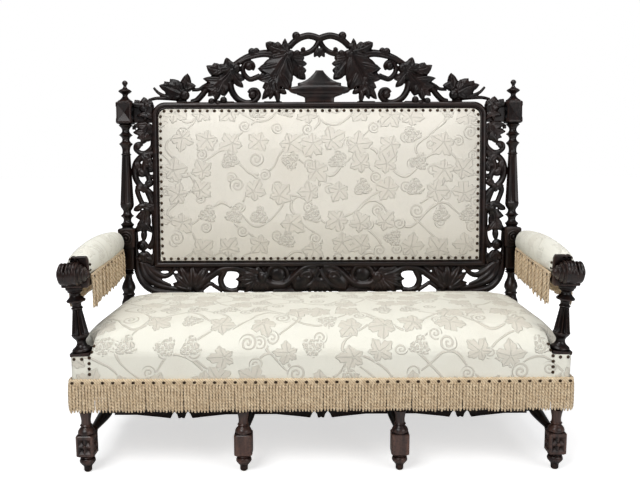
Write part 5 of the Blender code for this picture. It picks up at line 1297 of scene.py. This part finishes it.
# front legs
legShape = {
    "toe": [(0.0030, 0.0120, 1), (0.0060, 0.0128, 0), (0.0180, 0.0135, 0), (0.0250, 0.0185, 0),
            (0.0350, 0.0255, 0), (0.0440, 0.0240, 0), (0.0485, 0.0200, 1), (0.0530, 0.0248, 1),
            (0.0575, 0.0215, 1)],
    "block": [(0.0580, 0.0262), (0.0610, 0.0295), (0.1270, 0.0295), (0.1300, 0.0272)],
    "neck": [(0.1300, 0.0262, 1), (0.1350, 0.0275, 0), (0.1430, 0.0255, 0), (0.1510, 0.0190, 0),
             (0.1550, 0.0160, 1), (0.1595, 0.0196, 1), (0.1640, 0.0158, 1), (0.1760, 0.0152, 0),
             (0.1900, 0.0172, 0), (0.2050, 0.0205, 1), (0.2090, 0.0170, 1), (0.2250, 0.0190, 0),
             (0.2450, 0.0245, 0), (0.2615, 0.0255, 1)],
    "top": [(0.2615, 0.0300), (0.4000, 0.0300)],
    "dowel": [(0.2615, 0.0090, 1), (0.2930, 0.0090, 1)],
    "facet": {"z": 0.094, "out": 0.0297, "side": 0.0105, "up": 0.0135, "half": (0.0090, 0.0120),
              "deep": 0.0080},
    "bead": {"out": 0.0285, "radius": 0.0070},
    "glide": [(0.0, 0.0), (0.0, 0.0085), (0.0014, 0.0098), (0.0032, 0.0098), (0.0032, 0.0)],
}


def makeLeg(name, outer):
    shape = legShape
    facet, bead = shape["facet"], shape["bead"]

    def spot(x, y, h):
        return (x, y, h)

    runs = [("round", shape["toe"]), ("square", shape["block"], 0.005), ("round", shape["neck"])]
    runs.append(("square", shape["top"], 0.003) if outer else ("round", shape["dowel"]))
    body = timber(name, runs, spot, 48)
    if not outer:
        return body
    middleZ = Vector((0, 0, facet["z"]))
    for out, turn in faceTurns:
        for sx, sz in ((-1, -1), (-1, 1), (1, -1), (1, 1)):
            side = Vector((abs(out.y), abs(out.x), 0)) * (facet["side"] * sx)
            centre = middleZ + Vector((0, 0, facet["up"] * sz)) + out * facet["out"] + side
            cutFacet(body, centre, turn, facet["half"], facet["deep"])
    beads = [newBead(Matrix.Translation(middleZ + out * bead["out"]), bead["radius"], 14, 8)
             for out, turn in faceTurns]
    return joinPieces(name, [body] + beads)


legModels = {"outer": makeLeg("legOuter", True), "inner": makeLeg("legInner", False)}
glide = spinProfile("glide", legShape["glide"], 24)
glides = []
for kind, x in (("outer", place["legX"]), ("inner", place["innerX"])):
    for side, sign in (("right", 1), ("left", -1)):
        name = "leg_%s_%s" % (kind, side)
        spot = Matrix.Translation((sign * x, place["legY"], 0))
        leg = copyPiece(legModels[kind], "wood_" + name, spot)
        finishPiece(leg, legOak, ["front_" + name], 18)
        glides.append(copyPiece(glide, "glide", spot))
for model in (*legModels.values(), glide):
    bpy.data.objects.remove(model)
finishPiece(joinPieces("legGlides", glides), brass, [])
print("legs done")


# stretchers
stretcher = {"z": 0.115, "length": 0.230, "block": 0.028, "half": 0.026, "shoulder": 0.0235,
             "turn": [(0.000, 0.0115, 1), (0.020, 0.0115, 0), (0.035, 0.0165, 1), (0.042, 0.0120, 1),
                      (0.060, 0.0130, 0), (0.140, 0.0195, 0), (0.185, 0.0205, 0),
                      (0.215, 0.0150, 0), (0.222, 0.0200, 1), (0.230, 0.0150, 1)]}


def makeStretcher(node):
    shape = stretcher
    low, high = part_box(node)
    x = (low.x + high.x) / 2
    y0, y1 = place["legY"] + 0.0285, high.y - 0.004
    mid = (y0 + y1) / 2
    share = (mid - shape["block"] - y0) / shape["length"]
    first = [(y0 + h * share, r, s) for h, r, s in shape["turn"]]
    second = [(y1 - h * share, r, s) for h, r, s in reversed(shape["turn"])]
    block = [(mid + a, r) for a, r in ((-shape["block"], shape["shoulder"]), (-0.025, shape["half"]),
                                       (0.025, shape["half"]), (shape["block"], shape["shoulder"]))]

    def spot(a, b, h):
        return (x + a, h, shape["z"] + b)

    runs = [("round", first), ("square", block, 0.004), ("round", second)]
    return timber(node.replace("side_", "turned_"), runs, spot, 32)


for kind in ("outer", "inner"):
    for side in ("left", "right"):
        node = "side_stretcher_%s_%s" % (kind, side)
        finishPiece(makeStretcher(node), darkOak, [node])


# lower edge of half a long board: share of the half length, height over its lowest edge
boardEdge = [(0.000, 0.004), (0.022, 0.000), (0.047, 0.000), (0.062, 0.014), (0.100, 0.026),
             (0.135, 0.016), (0.163, 0.000), (0.300, 0.0045), (0.670, 0.0140), (1.000, 0.0140)]


def makeBoard(node, lift=0.007, arch=0.010):
    low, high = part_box(node)
    half, centre = (high.x - low.x) / 2, (high.x + low.x) / 2
    bottom = [(centre - half * t, low.z + lift + z) for t, z in reversed(boardEdge[1:])]
    bottom += [(centre + half * t, low.z + lift + z) for t, z in boardEdge]
    top = [(centre + half * t, high.z - arch + arch * math.cos(math.pi * t / 2))
           for t in [1 - 2 * i / 40 for i in range(41)]]
    rings = [[(x, y, z) for x, z in bottom + top] for y in (low.y, high.y)]
    board = loftRings(node.replace("long_", "scalloped_"), rings)
    applyModifier(board, "BEVEL", width=0.0025, segments=2, limit_method="ANGLE",
                  angle_limit=math.radians(60))
    return board


for side in ("left", "middle", "right"):
    node = "long_stretcher_" + side
    finishPiece(makeBoard(node), crossOak, [node], 30)
print("stretchers done")


# padded parts: fine grids, puffed as cloth under pressure
def gridLines(low, high, insets, step, extra=()):
    a, b = low + insets[-1], high - insets[-1]
    count = int(round((b - a) / step))
    lines = [low + i for i in insets] + [high - i for i in insets] + list(extra)
    return sorted(lines + [a + (b - a) * k / count for k in range(1, count)])


def riseAt(levels, d):
    for (d0, r0), (d1, r1) in zip(levels, levels[1:]):
        if d < d1:
            return r0 + (r1 - r0) * (d - d0) / (d1 - d0)
    return levels[-1][1]


def padGrid(name, xs, ys, lowR, highR, spot, skirt):
    # grid with round corners, closed by rings round its edge
    centre = (ys[0] + ys[-1]) / 2

    def rounded(x, y):
        r = lowR if y < centre else highR
        near = ys[0] + r if y < centre else ys[-1] - r
        a, b = (abs(x) - (xs[-1] - r)) / r, abs(y - near) / r
        inside = y > near if near < centre else y < near
        if a <= 0 or inside:
            return x, y
        return (math.copysign(xs[-1] - r + r * a * math.sqrt(1 - b * b / 2), x),
                near + math.copysign(r * b * math.sqrt(1 - a * a / 2), y - near))

    nx, ny = len(xs), len(ys)
    verts = [spot(x, y, *rounded(x, y)) for y in ys for x in xs]
    faces = [(j * nx + i, j * nx + i + 1, (j + 1) * nx + i + 1, (j + 1) * nx + i)
             for j in range(ny - 1) for i in range(nx - 1)]
    edge = ([(i, 0) for i in range(nx - 1)] + [(nx - 1, j) for j in range(ny - 1)]
            + [(i, ny - 1) for i in range(nx - 1, 0, -1)] + [(0, j) for j in range(ny - 1, 0, -1)])
    last = [j * nx + i for i, j in edge]
    for level in skirt:
        start = len(verts)
        verts.extend([level(*rounded(xs[i], ys[j])) for i, j in edge])
        ring = list(range(start, len(verts)))
        for k in range(len(ring)):
            n = (k + 1) % len(ring)
            faces.append((last[k], ring[k], ring[n], last[n]))
        last = ring
    piece = makeMesh(name, verts, faces)
    fixNormals(piece)
    return piece


def closeBack(piece):
    applyModifier(piece, "SUBSURF", levels=1)
    pick(piece)
    bpy.ops.object.mode_set(mode="EDIT")
    bpy.ops.mesh.select_mode(type="EDGE")
    bpy.ops.mesh.select_all(action="DESELECT")
    bpy.ops.mesh.select_non_manifold(extend=False, use_wire=False, use_multi_face=False,
                                     use_non_contiguous=False, use_verts=False)
    bpy.ops.mesh.edge_face_add()
    bpy.ops.object.mode_set(mode="OBJECT")
    fixNormals(piece)


clothFeel = {"quality": 4, "mass": 0.35, "tension_stiffness": 18, "compression_stiffness": 12,
             "shear_stiffness": 6, "bending_stiffness": 0.6, "use_pressure": True,
             "vertex_group_mass": "hold"}
puffFrames = 20


def puff(piece, shape, pinned, ease=None):
    mesh = piece.data
    rest = np.array([v.co[:] for v in mesh.vertices])
    hold = piece.vertex_groups.new(name="hold")
    hold.add([i for i, p in enumerate(rest) if pinned(p)], 1.0, "REPLACE")
    modifier = piece.modifiers.new("puff", "CLOTH")
    for key, value in clothFeel.items():
        setattr(modifier.settings, key, value)
    modifier.settings.uniform_pressure_force = shape["pressure"]
    modifier.settings.effector_weights.gravity = 0
    modifier.point_cache.frame_start = 1
    modifier.point_cache.frame_end = puffFrames
    for number in range(1, puffFrames + 1):
        bpy.context.scene.frame_set(number)
    pick(piece)
    bpy.ops.object.modifier_apply(modifier=modifier.name)
    bpy.context.scene.frame_set(1)
    move = np.array([v.co[:] for v in mesh.vertices]) - rest
    far = np.linalg.norm(move, axis=1, keepdims=True)
    fade = np.array([[ease(p) if ease else 1.0] for p in rest])            # fades to the tacked edge
    move *= np.minimum(1.0, shape["cap"] * fade / np.maximum(far, 1e-9))
    mesh.vertices.foreach_set("co", (rest + move).ravel())
    mesh.update()
    piece.vertex_groups.clear()


def mapCloth(piece, rule):
    mesh = piece.data
    for old in list(mesh.uv_layers):
        mesh.uv_layers.remove(old)
    layer = mesh.uv_layers.new(name="clothMap")
    flat = np.array([rule(v.co, v.normal) for v in mesh.vertices], dtype=np.float32)
    index = np.zeros(len(mesh.loops), dtype=np.int32)
    mesh.loops.foreach_get("vertex_index", index)
    layer.data.foreach_set("uv", flat[index].ravel())


def finishPad(piece, rule, material, node):
    mapCloth(piece, rule)
    finishPiece(piece, material, [node], 40)


# padded back
backPad = {"edge": 0.0266, "cornerTop": 0.034, "cornerLow": 0.006, "pressure": 4.0, "cap": 0.006,
           "held": 0.012, "skirt": (-0.004, 0.003, 0.010),
           "front": -0.0125, "crown": 0.0335, "step": 0.016,
           "insets": (0, 0.002, 0.005, 0.010, 0.015, 0.022, 0.032, 0.045, 0.060),
           "rise": curvePoints([(0.0, 0.0), (0.010, 0.13), (0.020, 0.27), (0.040, 0.50), (0.080, 0.76),
                                (0.130, 0.91), (0.200, 0.985), (0.300, 1.0)], 5)}


def makeBackPad():
    shape = backPad
    half = heights["panelHalf"] - shape["edge"]
    low, high = heights["panelLow"] + shape["edge"], heights["panelHigh"] - shape["edge"]

    def spot(x, h, px, ph):
        full = riseAt(shape["rise"], half - abs(x)) * riseAt(shape["rise"], min(h - low, high - h))
        return backMatrix @ Vector((px, shape["front"] - shape["crown"] * full, ph))

    skirt = [lambda px, ph, d=d: backMatrix @ Vector((px, d, ph)) for d in shape["skirt"]]
    return padGrid("backCloth", gridLines(-half, half, shape["insets"], shape["step"]),
                   gridLines(low, high, shape["insets"], shape["step"]), shape["cornerLow"],
                   shape["cornerTop"], spot, skirt)


backInverse = backMatrix.inverted()


def backHeld(p):
    q = backInverse @ Vector(p)
    inset = min(heights["panelHalf"] - abs(q.x), q.z - heights["panelLow"],
                heights["panelHigh"] - q.z) - backPad["edge"]
    return inset < backPad["held"] or q.y > 0


def backRule(co, normal):
    q = backInverse @ co
    return (q.x + 1.0, q.z + 1.0)


backCloth = makeBackPad()
puff(backCloth, backPad, backHeld)
closeBack(backCloth)
finishPad(backCloth, backRule, backShadedLook, "back_cushion")
print("back padded", len(backCloth.data.polygons))


# seat: crowned pad with a skirt over the rails, notched for the arm posts
seatPad = {"half": 0.8076, "front": -0.3428, "swell": 0.0008, "rear": 0.3115, "cornerFront": 0.018,
           "cornerRear": 0.055, "pressure": 4.0, "cap": 0.008, "roll": 0.425, "crown": 0.094,
           "step": 0.016, "notchX": 0.7395, "notchY": -0.2715, "wall": 0.003,
           "insets": (0, 0.0012, 0.0035, 0.0080, 0.0160, 0.025, 0.035, 0.046, 0.058, 0.072),
           "rise": curvePoints([
               (0.0, 0.0), (0.0012, 0.09), (0.0035, 0.175), (0.0080, 0.27), (0.0160, 0.38),
               (0.030, 0.51), (0.058, 0.68), (0.115, 0.87), (0.175, 0.97), (0.230, 1.0), (0.330, 1.01)], 5),
           "sideRise": curvePoints([
               (0.0, 0.0), (0.0012, 0.11), (0.0035, 0.21), (0.0080, 0.33), (0.0160, 0.47),
               (0.030, 0.63), (0.058, 0.81), (0.115, 0.94), (0.175, 0.99), (0.230, 1.0), (0.330, 1.01)], 5),
           "ramp": 0.034, "notchWall": 0.0025, "held": 0.402, "fade": 0.060,
           "skirt": (0.395, 0.388, 0.378, 0.366, 0.352, 0.325, 0.302, 0.300),
           "lining": (0.300, 0.302, 0.350, 0.397), "swellFrom": 0.345, "swellSpan": 0.055,
           "hem": 0.03, "behind": 0.056}


def portion(value, low, span):
    return min(1.0, max(0.0, (value - low) / span))


def makeSeatPad():
    shape = seatPad
    top = place["railTop"]

    def spot(x, y, px, py):
        side, front = shape["half"] - abs(x), y - shape["front"]
        full = riseAt(shape["sideRise"], side)
        full *= riseAt(shape["rise"], min(front, 1.6 * (shape["rear"] - y)))
        inX = portion(abs(x), shape["notchX"], shape["notchWall"])
        inY = portion(shape["ramp"] + shape["notchY"], y, shape["ramp"])
        inY = inY * inY * (3 - 2 * inY)                 # the pad slopes down behind the arm post
        return Vector((px, py, top + shape["crown"] * full * (1 - inX * inY)))

    def skirtAt(z, wall):
        inset = shape["swell"] * (portion(z, shape["swellFrom"], shape["swellSpan"])**2 - 1) + wall

        def level(px, py):
            behind = py > shape["rear"] - shape["behind"] and abs(px) < shape["half"] - 0.001
            x = px - math.copysign(inset, px) if abs(px) > shape["half"] - shape["hem"] else px
            y = py + inset if py < shape["front"] + shape["hem"] else py - (inset if behind else 0)
            return Vector((x, y, max(z, top - 0.0012 - 0.01 * inset) if behind else z))
        return level

    skirt = [skirtAt(z, 0.0) for z in shape["skirt"]]
    skirt += [skirtAt(z, shape["wall"]) for z in shape["lining"]]
    notches = (shape["notchX"], shape["notchX"] + shape["notchWall"])
    xs = gridLines(-shape["half"], shape["half"], shape["insets"], shape["step"],
                   [s * n for s in (-1, 1) for n in notches])
    ys = gridLines(shape["front"], shape["rear"], shape["insets"], shape["step"],
                   [shape["notchY"] + shape["ramp"] * t for t in (0, 0.25, 0.5, 0.75, 1)])
    return padGrid("seatCloth", xs, ys, shape["cornerFront"], shape["cornerRear"], spot, skirt)


def seatRule(co, normal):
    u, v = co.x, co.y
    drop = max(0.0, seatPad["roll"] - co.z)
    if abs(normal.x) > abs(normal.y):
        u += math.copysign(drop, co.x)
    elif co.y < 0:
        v -= drop
    return (u + 1.07, v + 1.0)


seatCloth = makeSeatPad()
puff(seatCloth, seatPad, lambda p: p[2] < seatPad["held"],
     lambda p: portion(p[2], seatPad["held"], seatPad["fade"]))
closeBack(seatCloth)
finishPad(seatCloth, seatRule, seatLitLook, "seat_cushion")
print("seat padded", len(seatCloth.data.polygons))


# arm pads: station along the arm, centre, half width, top
armPad = {"base": 0.6576, "front": -0.3068, "rear": 0.2800, "pressure": 4.0, "cap": 0.005,
          "held": 0.668, "axisX": 0.786, "axisZ": 0.665, "girth": 0.055, "middle": 0.38,
          "runs": [(0.00, 0.777, 0.0330, 0.7170), (0.03, 0.780, 0.0395, 0.7265),
                   (0.10, 0.783, 0.0425, 0.7370), (0.30, 0.788, 0.0430, 0.7500),
                   (0.55, 0.795, 0.0420, 0.7525), (0.80, 0.804, 0.0360, 0.7430),
                   (0.95, 0.808, 0.0310, 0.7320), (1.00, 0.809, 0.0270, 0.7220)]}


def makeArmPad(name, sides=32):
    shape = armPad
    rings = []
    for station, centre, half, top in curvePoints(shape["runs"], 5):
        y = shape["front"] + (shape["rear"] - shape["front"]) * station
        ring = []
        for k in range(sides):
            a = fullTurn * k / sides
            tall = max(0.0, shape["middle"] + (1 - shape["middle"]) * math.sin(a))
            z = shape["base"] + (top - shape["base"]) * tall
            ring.append((centre + half * math.cos(a), y, z))
        rings.append(ring)
    return loftRings(name, rings)


def armRule(co, normal):
    around = math.atan2(co.x - math.copysign(armPad["axisX"], co.x), co.z - armPad["axisZ"])
    return (co.y + 1.0, armPad["girth"] * around + (1.25 if co.x > 0 else 1.15))


armCloth = makeArmPad("armClothRight")
puff(armCloth, armPad, lambda p: p[2] < armPad["held"])
applyModifier(armCloth, "SUBSURF", levels=1)
armCloths = {"right": armCloth, "left": mirrorCopy(armCloth, "armClothLeft")}
for side, pad in armCloths.items():
    finishPad(pad, armRule, armLitLook, "arm_pad_" + side)
print("arms padded")


# bullion fringe: twisted strands under a braid
fringe = {"rings": 9, "sides": 6, "turns": 1.5, "root": 0.85, "tip": 0.45, "ply": 0.07,
          "length": (-0.02, 0.02), "thick": (0.94, 1.06), "swing": (-0.0008, 0.0020),
          "beat": 0.0075, "beatOut": 0.0007, "beatUp": 0.0012,
          "section": [(0.0, 0.0), (0.8, 0.06), (1.0, 0.25), (0.72, 0.5), (1.0, 0.75), (0.8, 0.94),
                      (0.0, 1.0)]}


def addTube(store, rings, wide, levels, ends):             # rings of points with their map
    count = len(rings[0])
    store["faces"] += loftFaces(len(rings), count, len(store["verts"]))
    for ring in rings:
        store["verts"] += ring
    for v0, v1 in zip(levels, levels[1:]):
        for k in range(count):
            u0, u1 = k * wide, (k + 1) * wide
            store["uvs"] += [(u0, v0), (u1, v0), (u1, v1), (u0, v1)]
    for v in ends:
        store["uvs"] += [(0, v)] * count


def addStrand(store, top, reach, radius, along, out, lean, swing, phase):
    steps, sides = fringe["rings"], fringe["sides"]
    rings = []
    for i in range(steps + 1):
        t = i / steps
        r = radius * (fringe["root"] if i == 0 else fringe["tip"] if i == steps else 1.0)
        centre = (top + along * (lean * reach * t) + out * (swing * math.sin(0.8 * math.pi * t))
                  + Vector((0, 0, -reach * t)))
        ring = []
        for k in range(sides):
            b = phase + fullTurn * (fringe["turns"] * t + k / sides)
            q = r * (1.0 + fringe["ply"] * math.cos(2 * fullTurn * k / sides))      # two plies
            ring.append(centre + along * (q * math.cos(b)) + out * (q * math.sin(b)))
        rings.append(ring)
    levels = [reach * i / steps for i in range(steps + 1)]
    addTube(store, rings, 1 / sides, levels, (0, reach))


def addBraid(store, a, b, out, trim):
    span, way = (b - a).length, (b - a).normalized()
    count = max(2, int(span / fringe["beat"]))
    low, tall, thick = trim["braidLow"], trim["top"] - trim["braidLow"], trim["braid"]
    rings = []
    for i in range(count + 1):
        p = a + way * (span * i / count)
        beat = 1 if i % 2 else -1
        ring = []
        for o, h in fringe["section"]:
            q = p + out * (o * thick + (fringe["beatOut"] * beat if o > 0 else 0))
            ring.append((q.x, q.y, low + h * tall + (fringe["beatUp"] * beat if h > 0.9 else 0)))
        rings.append(ring)
    addTube(store, rings, 0.25, [span * i / count for i in range(count + 1)], (0, 0))


def hangRow(store, a, b, out, trim, rng):
    span, way = (b - a).length, (b - a).normalized()
    count = int(round(span / trim["pitch"]))
    for i in range(count):
        if i % trim["clump"] == 0:                        # strands hang in small clumps
            lean = rng.gauss(0, trim["loose"])
            longer = rng.uniform(-1, 1) * trim["ragged"]
        p = a + way * (span * (i + 0.5) / count) + out * (trim["radius"] + trim["stand"])
        p.z = trim["braidLow"] + trim["tuck"]
        pull = (trim["clump"] - 1) / 2 - i % trim["clump"]
        addStrand(store, p, (p.z - trim["bottom"]) * (1 + longer + rng.uniform(*fringe["length"])),
                  trim["radius"] * rng.uniform(*fringe["thick"]), way, out,
                  lean + trim["gather"] * pull, rng.uniform(*fringe["swing"]),
                  rng.uniform(0, fullTurn))


def makeFringe(node, name, a, b, out, rows, seed, look):
    rng = random.Random(seed)
    store = {"verts": [], "faces": [], "uvs": []}
    for row in rows:
        hangRow(store, a, b, out, row, rng)
    addBraid(store, a, b, out, rows[0])
    piece = makeMesh(name, store["verts"], store["faces"], store["uvs"])
    editAll(piece, outward)
    finishPiece(piece, look, [node], 60)


seatTrim = {"top": 0.3260, "braidLow": 0.3060, "bottom": 0.2175, "radius": 0.0058, "braid": 0.0095,
            "pitch": 0.0102, "loose": 0.008, "gather": 0.004, "clump": 4, "ragged": 0.02,
            "stand": 0.0006, "tuck": 0.006, "front": -0.3437, "half": 0.8113, "rear": 0.2605,
            "sideX": seatPad["half"] + seatPad["swell"]}
sideTrim = dict(seatTrim, radius=0.0044, braid=0.0062, pitch=0.0092)
armTrim = {"top": 0.6613, "braidLow": 0.6440, "bottom": 0.5540, "radius": 0.0036, "braid": 0.0075,
           "pitch": 0.0084, "loose": 0.012, "gather": 0.004, "clump": 5, "ragged": 0.04,
           "stand": 0.0006, "tuck": 0.006, "frontY": -0.3035, "rearY": 0.2660,
           "inner": (0.7400, 0.7860), "outer": (0.8050, 0.8360)}
armCords = dict(armTrim, pitch=0.0560, radius=0.0048, stand=0.0040, tuck=0.0125, clump=1, gather=0.0,
                ragged=0.06)                              # thicker cords in front of the arm's row
bothSides = (("left", -1), ("right", 1))
bothEdges = (("inner", -1), ("outer", 1))

makeFringe("seat_fringe_front", "fringeFront", Vector((-seatTrim["half"], seatTrim["front"], 0)),
           Vector((seatTrim["half"], seatTrim["front"], 0)), Vector((0, -1, 0)), [seatTrim], 5, bullion)
for side, sign in bothSides:
    x = sign * (seatTrim["sideX"] + 0.0003)
    makeFringe("seat_fringe_" + side, "fringe" + side.capitalize(),
               Vector((x, seatTrim["front"] + 0.001, 0)), Vector((x, seatTrim["rear"], 0)),
               Vector((sign, 0, 0)), [sideTrim], 20 + sign, bullion)
    for edge, way in bothEdges:
        x0, x1 = armTrim[edge]
        a = Vector((sign * x0, armTrim["frontY"], 0))
        b = Vector((sign * x1, armTrim["rearY"], 0))
        out = Vector((0, 0, 1)).cross(b - a).normalized()
        if out.x * sign * way < 0:
            out = -out
        makeFringe("arm_fringe_%s_%s" % (side, edge),
                   "armFringe%s%s" % (side.capitalize(), edge.capitalize()), a, b, out,
                   [armTrim, armCords], 40 + 3 * sign + way, bullionCord)
print("fringes done")


# nails: one dome copied along every tacked edge
nailShape = {"back": 0.0068, "seat": 0.0058, "arm": 0.0048, "pitch": 0.0287, "inset": 0.0298,
             "front": 50, "frontHalf": 0.800, "side": 18, "sidePitch": 0.0325, "armEdge": 8,
             "armZ": 0.6510, "frontOut": 0.0080, "sideOut": 0.0052, "sideStart": 0.020,
             "armOut": 0.0066, "armStart": 0.35, "padStart": 0.010, "padEnd": (0.674, 0.692, 0.709),
             "cut": -0.2, "flat": 0.70,
             "corner": [(0.745, 0.342), (0.745, 0.360), (0.745, 0.378), (0.744, 0.396),
                        (0.768, 0.392), (0.793, 0.392), (0.7365, 0.414), (0.7330, 0.430)]}


def nailModel():
    dome = newBead(Matrix(), 1, 8, 6)
    cutAway(dome, (0, 0, nailShape["cut"]), (0, 0, 1))
    return moveMesh(dome, Matrix.Diagonal((1, 1, nailShape["flat"], 1)))


def setNails(name, tacks, radius):
    dome = nailModel()
    base = [v.co.copy() for v in dome.data.vertices]
    faces = [tuple(p.vertices) for p in dome.data.polygons]
    bpy.data.objects.remove(dome)
    verts, allFaces = [], []
    for point, normal in tacks:
        turn = Vector(normal).to_track_quat("Z", "Y").to_matrix()
        start = len(verts)
        verts.extend([Vector(point) + turn @ (v * radius) for v in base])
        allFaces.extend([tuple(start + i for i in f) for f in faces])
    finishPiece(makeMesh(name, verts, allFaces), bronze, [], 60)


def onCloth(piece, point, way):
    hit, spot, normal, index = piece.ray_cast(Vector(point), Vector(way))
    return [(spot, normal)] if hit else []


def backTacks():
    tacks = []
    forward = backMatrix.to_3x3() @ Vector((0, 1, 0))
    path = frameOutline(nailShape["inset"], -0.2)
    path.append(path[0])
    lengths = [(path[i + 1] - path[i]).length for i in range(len(path) - 1)]
    total = sum(lengths)
    count = int(round(total / nailShape["pitch"]))
    for n in range(count):
        want, i = total * n / count, 0
        while want > lengths[i]:
            want -= lengths[i]
            i += 1
        p = path[i].lerp(path[i + 1], want / max(lengths[i], 1e-9))
        tacks += [(spot, -forward) for spot, normal in onCloth(backCloth, p, forward)]
    return tacks


def seatTacks():
    tacks = []
    z = (seatTrim["top"] + seatTrim["braidLow"]) / 2
    half, count = nailShape["frontHalf"], nailShape["front"]
    for i in range(count):
        x = -half + 2 * half * i / (count - 1)
        tacks.append(((x, seatTrim["front"] - nailShape["frontOut"], z), (0, -1, 0)))
    for side, sign in bothSides:
        x = sign * (seatTrim["sideX"] + nailShape["sideOut"])
        for i in range(nailShape["side"]):
            y = seatTrim["front"] + nailShape["sideStart"] + nailShape["sidePitch"] * i
            tacks.append(((x, y, z), (sign, 0, 0)))
        for cornerX, cornerZ in nailShape["corner"]:      # round the seat's front corner
            tacks.extend(onCloth(seatCloth, (sign * cornerX, -0.6, cornerZ), (0, 1, 0)))
    return tacks


def armTacks():
    tacks = []
    for side, sign in bothSides:
        for i in range(nailShape["armEdge"]):
            t = (i + nailShape["armStart"]) / nailShape["armEdge"]
            y = armTrim["frontY"] + (armTrim["rearY"] - armTrim["frontY"]) * t
            for edge, way in bothEdges:
                x0, x1 = armTrim[edge]
                x = x0 + (x1 - x0) * t + way * nailShape["armOut"]
                tacks.append(((sign * x, y, nailShape["armZ"]), (sign * way, 0, 0)))
        for z in nailShape["padEnd"]:                     # round the front end of the pad
            for x, way in ((0.60, 1), (0.95, -1)):        # looked for from either side
                start = (sign * x, armPad["front"] + nailShape["padStart"], z)
                tacks.extend(onCloth(armCloths[side], start, (sign * way, 0, 0)))
    return tacks


setNails("backNails", backTacks(), nailShape["back"])
setNails("seatNails", seatTacks(), nailShape["seat"])
setNails("armNails", armTacks(), nailShape["arm"])
print("nails done")


# coil springs as round wire
springShape = {"turns": 5, "steps": 20, "sides": 8, "wire": 0.0024, "waist": 0.034, "flare": 0.0125}


def makeSpring(node):
    shape = springShape
    thick, sides = shape["wire"], shape["sides"]
    low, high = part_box(node)
    centre = (low + high) / 2
    total = shape["turns"] * shape["steps"]
    rings = []
    for i in range(total + 1):
        t = i / total
        a = fullTurn * shape["turns"] * t
        out = Vector((math.cos(a), math.sin(a), 0))
        c = (Vector((centre.x, centre.y, low.z + thick + (high.z - low.z - 2 * thick) * t))
             + out * (shape["waist"] + shape["flare"] * abs(2 * t - 1)**1.4))
        rings.append([c + out * (thick * math.cos(b)) + Vector((0, 0, thick * math.sin(b)))
                      for b in [fullTurn * k / sides for k in range(sides)]])
    return loftRings(node.replace("seat_", "coil_"), rings)


for number in range(1, 7):
    node = "seat_spring_%d" % number
    finishPiece(makeSpring(node), steel, [node], 60)

# timber and cloth that stay as packed get these finishes
keptLooks = {"seat_rail_front": crossOak, "seat_rail_rear": crossOak, "seat_webbing": jute,
             "back_outside_cover": linen}
for node in ("seat_rail_%s", "seat_cross_rail_%s", "rear_leg_inner_%s"):
    keptLooks.update({node % side: darkOak for side, sign in bothSides})
for node, look in keptLooks.items():
    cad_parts[node].data.materials.clear()
    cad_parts[node].data.materials.append(look)
print("kept nodes dressed")


# floor, world, lamps and camera
stage = {"floorGlow": (0.9, 2.6, 0.60, 1.0), "world": 0.18, "sensor": 36, "pixels": 640}


def setFloor():
    clearSelection()
    bpy.ops.mesh.primitive_plane_add(size=40, location=(0, 0, 0))
    floor = bpy.context.object
    floor.name = "floor"
    material, tree, shader = newMaterial("paleFloor")
    away = addNode(tree, "VectorMath", {0: ownSpace(tree)}, operation="LENGTH").outputs["Value"]
    seen = addNode(tree, "LightPath").outputs["Is Camera Ray"]
    glow = times(tree, seen, ramp(tree, away, *stage["floorGlow"]))       # reads white, shadow stays
    wire(tree, shader, {"Base Color": (0.86, 0.86, 0.86, 1), "Roughness": 0.9,
                        "Specular IOR Level": 0.1, "Emission Color": (1, 1, 1, 1),
                        "Emission Strength": glow})
    floor.data.materials.append(material)


def setWorld():
    world = bpy.context.scene.world or bpy.data.worlds.new("studio")
    bpy.context.scene.world = world
    world.use_nodes = True
    tree = world.node_tree
    tree.nodes.clear()
    sky = addNode(tree, "Background", {"Color": (0.93, 0.95, 1.0, 1), "Strength": stage["world"]})
    white = addNode(tree, "Background", {"Color": (1, 1, 1, 1), "Strength": 1.0})
    seen = addNode(tree, "LightPath").outputs["Is Camera Ray"]
    mix = addNode(tree, "MixShader", {0: seen, 1: sky.outputs[0], 2: white.outputs[0]})
    addNode(tree, "OutputWorld", {0: mix.outputs[0]})


def addLamp(name, spot, aim, size, power):
    clearSelection()
    bpy.ops.object.light_add(type="AREA", location=spot)
    lamp = bpy.context.object
    lamp.name = name
    lamp.data.shape = "RECTANGLE"
    lamp.data.size, lamp.data.size_y = size
    lamp.data.energy = power
    lamp.rotation_euler = (Vector(aim) - Vector(spot)).to_track_quat("-Z", "Y").to_euler()


setFloor()
setWorld()
addLamp("keyLamp", (-1.6, -2.8, 3.4), (0, 0, 0.6), (2.0, 1.6), 86)
addLamp("fillLamp", (2.6, -2.8, 1.9), (0, 0, 0.6), (2.4, 2.0), 46)
addLamp("topLamp", (0, -0.3, 3.6), (0, 0, 0.5), (2.8, 1.5), 62)

view = {"spot": (-0.0184, place["legY"] - 2.3188, 1.0749), "pitch": 0.1309, "yaw": 0.0063,
        "roll": 0.0030, "focus": 733.41}
cameraData = bpy.data.cameras.new("camera")
camera = bpy.data.objects.new("camera", cameraData)
bpy.context.scene.collection.objects.link(camera)
camera.location = view["spot"]
camera.rotation_euler = (Matrix.Rotation(-view["yaw"], 3, "Z")
                         @ Matrix.Rotation(math.pi / 2 - view["pitch"], 3, "X")
                         @ Matrix.Rotation(-view["roll"], 3, "Z")).to_euler()
cameraData.sensor_width = stage["sensor"]
cameraData.lens = view["focus"] * stage["sensor"] / stage["pixels"]
bpy.context.scene.camera = camera
bpy.context.scene.view_settings.view_transform = "Standard"
